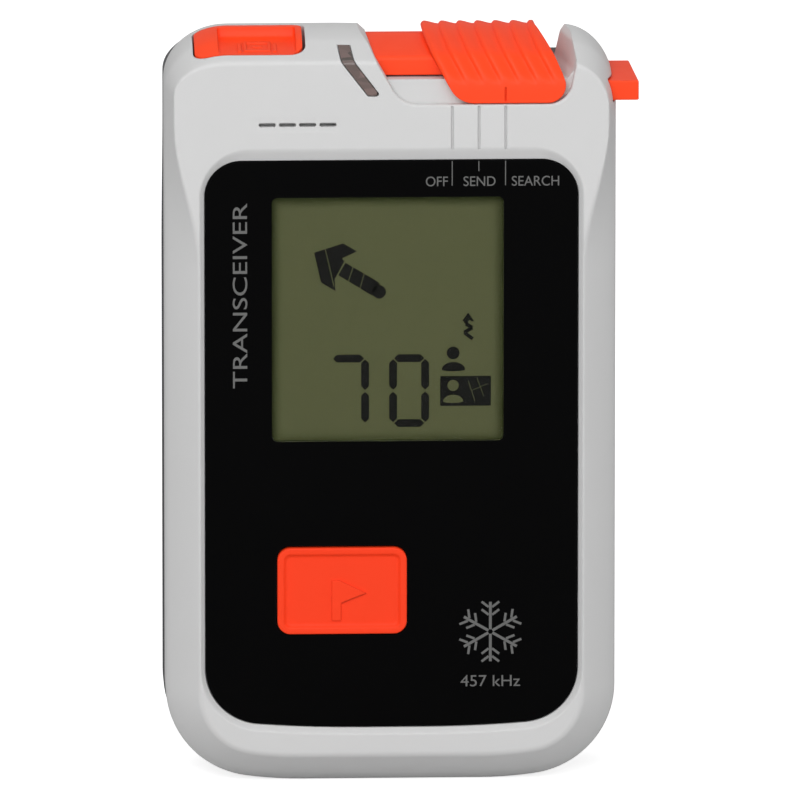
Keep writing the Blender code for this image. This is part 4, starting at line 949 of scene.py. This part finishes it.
def softened(piece, width, segments, angle):
    """Rounds the edges of a piece that turn by more than an angle."""
    active_only(piece)
    bevel = piece.modifiers.new("softened", "BEVEL")
    bevel.width, bevel.segments = width * MM, segments
    bevel.limit_method, bevel.angle_limit = "ANGLE", math.radians(angle)
    bpy.ops.object.modifier_apply(modifier=bevel.name)
    return piece


scoop = softened(prism("scoop", scoop_floor, *SCOOP_X, "X"), 0.55, 5, 50)
change(latch, scoop)


def floor_height(y):
    return 112.55 + (y + 10.05) * 0.092


SIGN_X, SIGN_Y = (-22.9, -17.1), (-8.7, -3.6)
x0, x1 = SIGN_X
y0, y1 = SIGN_Y
sign_bars = [
    ((x0, y0), (x0 + 0.55, y1 - 1.3)),
    ((x1 - 0.55, y0), (x1, y1 - 1.3)),
    ((x0 + 0.9, y0 + 0.3), (x0 + 1.35, y1 - 0.3)),
    ((x1 - 1.35, y0 + 0.3), (x1 - 0.9, y1 - 0.3)),
    ((x0 + 0.9, y0 + 0.3), (x1 - 0.9, y0 + 0.9)),
    ((x0 + 0.9, y1 - 0.9), (x1 - 0.9, y1 - 0.3)),
    (((x0 + x1) / 2 - 0.7, -6.5), ((x0 + x1) / 2 + 0.7, -6.0)),
]
for (xa, ya), (xb, yb) in sign_bars:
    za, zb = floor_height(ya), floor_height(yb)
    section = [(ya, za - 0.25), (yb, zb - 0.25), (yb - 0.08, zb + 0.2), (ya + 0.08, za + 0.2)]
    change(latch, prism("sign_bar", section, xa, xb, "X"), "UNION")
change(latch, rod("latch_bore", (PIN_X, -14, PIN_Z), (PIN_X, 4, PIN_Z), 0.8, 24))
ARM_X = (-17.5, -14.5)
arm = [(-3.2, 105.4), (10.0, 105.4), (10.0, 107.3), (9.0, 107.3), (9.0, 106.8)]
arm += [(-1.2, 106.8), (-1.2, 110.3), (-3.2, 110.3)]
change(latch, prism("latch_arm", arm, *ARM_X, "X"), "UNION")
finish_shape(latch, 32)
latch.data.materials.append(orange_plastic)
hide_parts("battery_latch")
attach(latch, "latch")

# Slider grip: the ribbed orange slide that chooses off, send or search. Its ribs lean with the
# recess, rise steeply on their left and fall slowly to the right, and end above a smooth band.
GRIP_LEFT, GRIP_RIGHT = 8.3, 26.1
RIB_PITCH, RIB_HEIGHT = 2.67, 0.42
GRIP_LEAN, GRIP_NARROWING = 0.37, 2.0
grip_section = [
    (-12.1, RECESS_FLOOR, 0.0),
    (-12.1, 106.8, 0.0),
    (-12.1, 108.0, 0.0),
    (-12.0, 108.5, 0.15),
    (-11.65, 109.0, 0.8),
    (-11.2, 109.6, 1.0),
    (-10.6, 110.5, 1.0),
    (-10.05, 111.35, 1.0),
    (-9.75, 111.8, 1.0),
    (-9.3, 112.2, 1.0),
    (-8.6, 112.55, 1.0),
    (-7.0, 113.05, 1.0),
    (-5.0, 113.65, 1.0),
    (-3.2, 114.05, 1.0),
    (-1.5, 114.35, 1.0),
    (0.3, 114.5, 1.0),
    (2.0, 114.55, 1.0),
    (3.8, 114.4, 1.0),
    (5.5, 114.0, 1.0),
    (7.0, 113.35, 1.0),
    (8.3, 112.4, 1.0),
    (9.1, 111.5, 0.8),
    (9.6, 110.6, 0.4),
    (9.8, 109.9, 0.1),
    (9.8, 109.3, 0.0),
    (-11.0, 109.3, 0.0),
    (-11.0, RECESS_FLOOR, 0.0),
]


def rib_lift(along):
    share = (along / RIB_PITCH) % 1.0
    return math.sin(share / 0.28 * math.pi / 2) if share < 0.28 else 1 - smooth_step((share - 0.28) / 0.72)


rings = []
RIB_STEPS = 18
for step in range(-RIB_STEPS, 8 * RIB_STEPS + 1):
    along = step * RIB_PITCH / RIB_STEPS
    ring = []
    for i, (y, z, share) in enumerate(grip_section):
        before, after = grip_section[i - 1], grip_section[(i + 1) % len(grip_section)]
        outward = Vector((before[1] - after[1], after[0] - before[0])).normalized()
        lift = rib_lift(along) * RIB_HEIGHT * share
        y, z = y + outward.x * lift, z + outward.y * lift
        ring.append((slanted(GRIP_LEFT + along, z), y, z))
    rings.append(ring)
grip = solid_between("ribbed_grip", rings)


def grip_outline(narrowing):
    high, low = HEIGHT + 1, RECESS_FLOOR + 0.15
    right = GRIP_RIGHT - narrowing
    return rounded(
        [
            (slanted(GRIP_LEFT, high), high, 0),
            (slanted(GRIP_LEFT, low), low, 4.0),
            (right + 0.25, low, 2.7),
            (right, BAND_TOP, 0.8),
            (slanted(right, high, GRIP_LEAN), high, 0),
        ],
        12,
    )


grip_depths = ((-14.0, 0.0), (FRONT_Y + 1, 0.0), (SPLIT_Y, GRIP_NARROWING), (12.0, GRIP_NARROWING))
grip_sections = [(y, grip_outline(narrowing)) for y, narrowing in grip_depths]
change(grip, loft("grip_outline", grip_sections), "INTERSECT")
change(grip, rounded_block("grip_tunnel", (0.0, -6.2, 108.0), (30.0, 3.2, 111.5)))
pointer = [(16.95, -12.3), (17.25, -12.3), (17.2, -11.8), (17.0, -11.8)]
change(grip, prism("pointer_groove", pointer, 105.6, 107.7, "Z"))
finish_shape(grip, 38)
grip.data.materials.append(orange_plastic)
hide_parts("slider_grip")
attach(grip, "slider")

# Slider carriage: the orange bar under the grip, with the tongue that comes out of the right side.
bar_section = [(-9.0, 109.1), (-9.0, 111.3), (-8.9, 111.6), (-8.7, 111.85), (-8.4, 112.0)]
bar_section += [(-6.5, 112.5), (-4.5, 112.9), (-2.7, 113.2), (-1.0, 113.45), (0.5, 113.58)]
bar_section += [(1.5, 113.6), (2.4, 113.48), (2.85, 113.2), (3.0, 112.8), (3.0, 109.1)]
carriage = prism("slide_bar", bar_section, -8.0, 14.0, "X")
bar_left, bar_right = -0.95, GRIP_LEFT - 0.12
bar_ends = [(slanted(bar_left, 118.0), 118.0), (slanted(bar_left, 104.0), 104.0)]
bar_ends += [(slanted(bar_right, 104.0), 104.0), (slanted(bar_right, 118.0), 118.0)]
change(carriage, prism("bar_ends", bar_ends, -12.0, 6.0), "INTERSECT")
change(carriage, rounded_block("bar_core", (2.0, -6.0, 109.4), (23.0, 3.0, 111.3)), "UNION")
change(carriage, rounded_block("step_block", (19.0, -6.0, 105.2), (23.0, 3.0, 111.2)), "UNION")
tongue_plan = [(19.0, -9.0), (37.2, -9.0), (36.4, 6.4), (19.0, 6.4)]
tongue = softened(prism("tongue", tongue_plan, 105.0, 108.0, "Z"), 0.22, 3, 30)
change(carriage, tongue, "UNION")
change(carriage, rod("magnet_seat", (21.0, -1.0, 104.5), (21.0, -1.0, 107.3), 1.65))
finish_shape(carriage, 32)
carriage.data.materials.append(orange_plastic)
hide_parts("slider_carriage")
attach(carriage, "slider")

# Light pipe: a smoky moulding flush with the face, that shows the signal light of the send mode.
def ramp(tree, value, stops, sharp=False):
    """A colour ramp through two or more (place, colour) stops, stepped if it is sharp."""
    made = node(tree, "ValToRGB", {"Fac": value})
    made.color_ramp.interpolation = "CONSTANT" if sharp else "LINEAR"
    marks = made.color_ramp.elements
    for i, (place, colour) in enumerate(stops):
        mark = marks[i] if i < 2 else marks.new(place)
        mark.position, mark.color = place, (*colour, 1)
    return made


pipe = body_loft("smoky_light_pipe", front_depths + front_rim)
change(pipe, prism("pipe_front", with_radii(pipe_front, PIPE_RADII), -14.0, -6.0), "INTERSECT")
change(pipe, prism("pipe_depth", pipe_depth, -10, 0, "X"), "INTERSECT")
change(pipe, rounded_block("pipe_stem", (-3.2, -11.3, 106.9), (-2.2, -7.0, 107.8)), "UNION")
finish_shape(pipe, 32)
smoke = plastic("smoked_light_pipe", (0.13, 0.09, 0.08), 0.18, grain=2500, depth=0.05, edge=0.12)
tree = smoke.node_tree
leaning = {"Vector": object_place(tree), "Rotation": (0, math.radians(-32), 0), "Scale": (0.7, 1.0, 2.0)}
facets = node(tree, "TexVoronoi", {"Vector": node(tree, "Mapping", leaning), "Scale": 650})
SMOKE_STOPS = ((0.0, (0.055, 0.045, 0.038)), (1.0, (0.2, 0.13, 0.12)))
shades = ramp(tree, facets.outputs["Color"], SMOKE_STOPS)
feed(tree, tree.nodes["Principled BSDF"], {"Base Color": shades, "Coat Weight": 0.3})
pipe.data.materials.append(smoke)
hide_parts("led_light_pipe")
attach(pipe, "root")

# Battery door: a dark grey cover over the cells, hinged at its foot and caught at its top tab,
# with raised grip bars for the thumb.
door_sections = [(BACK_Y - DOOR_THICK, 0.0), (BACK_Y - 0.2, 0.0), (BACK_Y - 0.1, -0.03)]
door_sections += [(BACK_Y - 0.03, -0.09), (BACK_Y, -0.2)]
outer = door_outline(0.0)
door = loft("cell_door", [(y, widened(outer, margin)) for y, margin in door_sections])
change(door, grown_block("door_plug", BAY_OPENING, -1.3, 10.4, BACK_Y - DOOR_THICK + 0.3, 1.0), "UNION")
knuckle_ends = [(x, HINGE_Y, HINGE_Z) for x in KNUCKLE_X]
change(door, rod("door_knuckle", *knuckle_ends, KNUCKLE), "UNION")
change(door, rounded_block("catch_bar", (ARM_X[0], 7.8, 108.0), (ARM_X[1], 11.7, 109.2)), "UNION")
change(door, rounded_block("catch_lip", (ARM_X[0], 7.8, 107.6), (ARM_X[1], 8.7, 108.5)), "UNION")
change(door, rod("hinge_bore", (-31, HINGE_Y, HINGE_Z), (7, HINGE_Y, HINGE_Z), 0.75, 20))
for level in range(5):
    z = 96.4 + 1.6 * level - 3.0
    half = 4.5 + 0.6 * level
    low, high = (-12 - half, 12.2, z - 0.4), (-12 + half, 13.2, z + 0.4)
    change(door, rounded_block("thumb_groove", low, high, "Y", 0.38))
change(door, rounded_block("panel_line", (-28.2, 12.3, 57.2), (4.2, 13.0, 57.5)))
finish_shape(door, 32)
door.data.materials.append(dark_plastic)
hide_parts("battery_door")
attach(door, "door")

# Housing screws: plated steel, with a rounded head and a six-lobed drive.
screw_steel = plastic("steel", (0.5, 0.5, 0.51), 0.28, grain=3000, depth=0.06, edge=0.06, mottle=0.15)
screw_steel.node_tree.nodes["Principled BSDF"].inputs["Metallic"].default_value = 1.0
for number, (x, z) in enumerate(SCREWS, 1):
    screw = rod(f"lobed_screw_{number}", (x, -4.6, z), (x, 11.4, z), 1.0, 24)
    head_rings = ((10.9, 2.1), (11.0, 2.2), (11.7, 2.2), (12.0, 2.0), (12.15, 1.7), (12.2, 1.3))
    head = loft("screw_head", [(y, disc((x, z), radius, 40)) for y, radius in head_rings])
    change(screw, head, "UNION")
    lobes = []
    for step in range(60):
        turn = 2 * math.pi * step / 60
        reach = 1.05 + 0.16 * math.cos(6 * turn)
        lobes.append((x + reach * math.cos(turn), z + reach * math.sin(turn)))
    change(screw, prism("drive", lobes, 11.5, 13.0))
    finish_shape(screw, 32)
    screw.data.materials.append(screw_steel)
    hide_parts(f"housing_screw_{number}")
    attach(screw, "root")

# Pieces inside and behind that keep their own shape: seals of soft rubber, the white display
# frame and guide, the green board, cans, coils, cells and steel parts. Each gets its own finish.
def metal(name, colour, rough, grain, stretch):
    """Plated or drawn metal with fine streaks along one direction."""
    made = plastic(name, colour, rough, grain=2500, depth=0.04, edge=0.08, mottle=0.12)
    tree = made.node_tree
    turn = node(tree, "Mapping", {"Vector": object_place(tree), "Scale": stretch})
    streaks = node(tree, "TexNoise", {"Vector": turn, "Scale": grain})
    spread = {"Value": streaks, "To Min": rough * 0.7, "To Max": min(1.0, rough * 1.5)}
    gloss = node(tree, "MapRange", spread)
    feed(tree, tree.nodes["Principled BSDF"], {"Metallic": 1.0, "Roughness": gloss})
    return made


def banded(name, base, axis, scale, low, high, rough, metallic=0.0):
    """Bands across one axis, such as turns of wire or the layers of a contact strip."""
    made = plastic(name, base, rough, grain=4000, depth=0.05, edge=0.05)
    tree = made.node_tree
    across = {"Vector": object_place(tree), "Scale": scale, "Distortion": 0.4}
    wave = node(tree, "TexWave", across, bands_direction=axis).outputs["Fac"]
    relief = node(tree, "Bump", {"Height": wave, "Strength": 0.5, "Distance": 0.05 * MM})
    bands = ramp(tree, wave, ((0.0, low), (1.0, high)))
    look = {"Base Color": bands, "Normal": relief, "Metallic": metallic}
    feed(tree, tree.nodes["Principled BSDF"], look)
    return made


def spotted(name, base, scale, edge, spot, field, rough, metallic=0.0):
    """Round spots on a field: solder pads on a board, or the holes of a mesh."""
    made = plastic(name, base, rough, grain=3000, depth=0.05, edge=0.08)
    tree = made.node_tree
    spread = {"Vector": object_place(tree), "Scale": scale, "Randomness": 0.0 if metallic else 0.85}
    spots = ramp(tree, node(tree, "TexVoronoi", spread), ((0.0, spot), (edge, field)), sharp=True)
    feed(tree, tree.nodes["Principled BSDF"], {"Base Color": spots, "Metallic": metallic})
    return made


def cell_wrap():
    """A cell's sleeve: a pale band at the nub's end and a dark body, with bare metal ends."""
    made = plastic("cell_wrap", (0.03, 0.035, 0.05), 0.3, grain=1500, depth=0.03, edge=0.1)
    tree = made.node_tree
    apart = node(tree, "SeparateXYZ", {"Vector": object_place(tree)})
    span = {"Value": apart.outputs["Z"], "From Min": BAY[1] * MM, "From Max": BAY[3] * MM}
    bare, dark, pale = (0.6, 0.6, 0.6), (0.02, 0.03, 0.05), (0.55, 0.5, 0.42)
    stops = ((0.0, bare), (0.06, dark), (0.74, pale), (0.92, bare))
    bands = ramp(tree, node(tree, "MapRange", span), stops, sharp=True)
    feed(tree, tree.nodes["Principled BSDF"], {"Base Color": bands})
    return made


steel_bright = metal("steel_bright", (0.55, 0.55, 0.56), 0.25, 900, (1, 1, 12))
sheet = metal("sheet_metal_brushed", (0.6, 0.6, 0.6), 0.3, 1500, (12, 1, 1))
rubber = plastic("seal_rubber", (0.02, 0.02, 0.022), 0.75, grain=5000, depth=0.2, edge=0.2, mottle=0.1)
white = plastic("white_moulding", (0.78, 0.78, 0.75), 0.5, grain=6000, depth=0.08, edge=0.15)
epoxy = plastic("epoxy_black", (0.015, 0.015, 0.016), 0.45, grain=7000, depth=0.15, edge=0.1)
ferrite = plastic("fired_ferrite", (0.03, 0.03, 0.034), 0.65, grain=3500, depth=0.35, edge=0.15, mottle=0.2)
board = spotted("green_board", (0.01, 0.1, 0.04), 420, 0.16, (0.55, 0.42, 0.16), (0.008, 0.085, 0.03), 0.3)
mesh_metal = spotted("mesh_metal", (0.3, 0.3, 0.3), 1500, 0.4, (0.01, 0.01, 0.01), (0.4, 0.4, 0.4), 0.35, 1.0)
zebra = banded("contact_strip", (0.2, 0.2, 0.2), "X", 500, (0.02, 0.02, 0.02), (0.5, 0.5, 0.48), 0.6)
COPPER, COPPER_LOW, COPPER_HIGH = (0.6, 0.25, 0.1), (0.25, 0.08, 0.03), (0.75, 0.34, 0.15)
winding = {
    axis: banded(f"winding_{axis}", COPPER, axis, 900, COPPER_LOW, COPPER_HIGH, 0.3, 0.8)
    for axis in "XYZ"
}
wrap = cell_wrap()


def coil_axis(name):
    """A winding's bands run across its longest side, and for the flat coil across its depth."""
    low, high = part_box(name)
    spans = {axis: high[i] - low[i] for i, axis in enumerate("XYZ")}
    return "Y" if name.startswith("depth") else max(spans, key=spans.get)


finishes = {
    "housing_gasket": rubber,
    "button_seal": rubber,
    "door_seal": rubber,
    "zebra_strip": zebra,
    "lcd_frame": white,
    "lcd_backlight": white,
    "status_led": white,
    "main_board": board,
    "slide_sensor_board": board,
    "processor_chip": epoxy,
    "button_switch": epoxy,
    "speaker_driver": epoxy,
    "speaker_mesh": mesh_metal,
    "rf_shield_can": sheet,
    "contact_plate_lower": sheet,
    "contact_plate_upper": sheet,
    "vibration_motor": sheet,
    "slider_magnet": steel_bright,
    "detent_spring": steel_bright,
    "latch_pin": steel_bright,
    "latch_spring": steel_bright,
    "door_hinge_pin": steel_bright,
    "lanyard_bar": steel_bright,
    "battery_tray": dark_plastic,
    "long_antenna_core": ferrite,
    "cross_antenna_core": ferrite,
    "depth_antenna_core": ferrite,
}
for number in (1, 2, 3):
    finishes[f"battery_cell_{number}"] = wrap
    finishes[f"battery_spring_{number}"] = steel_bright
for name in ("long_antenna_coil", "cross_antenna_coil", "depth_antenna_coil"):
    finishes[name] = winding[coil_axis(name)]
for name, finish in finishes.items():
    for place in range(len(nodes[name].material_slots)):
        nodes[name].material_slots[place].material = finish
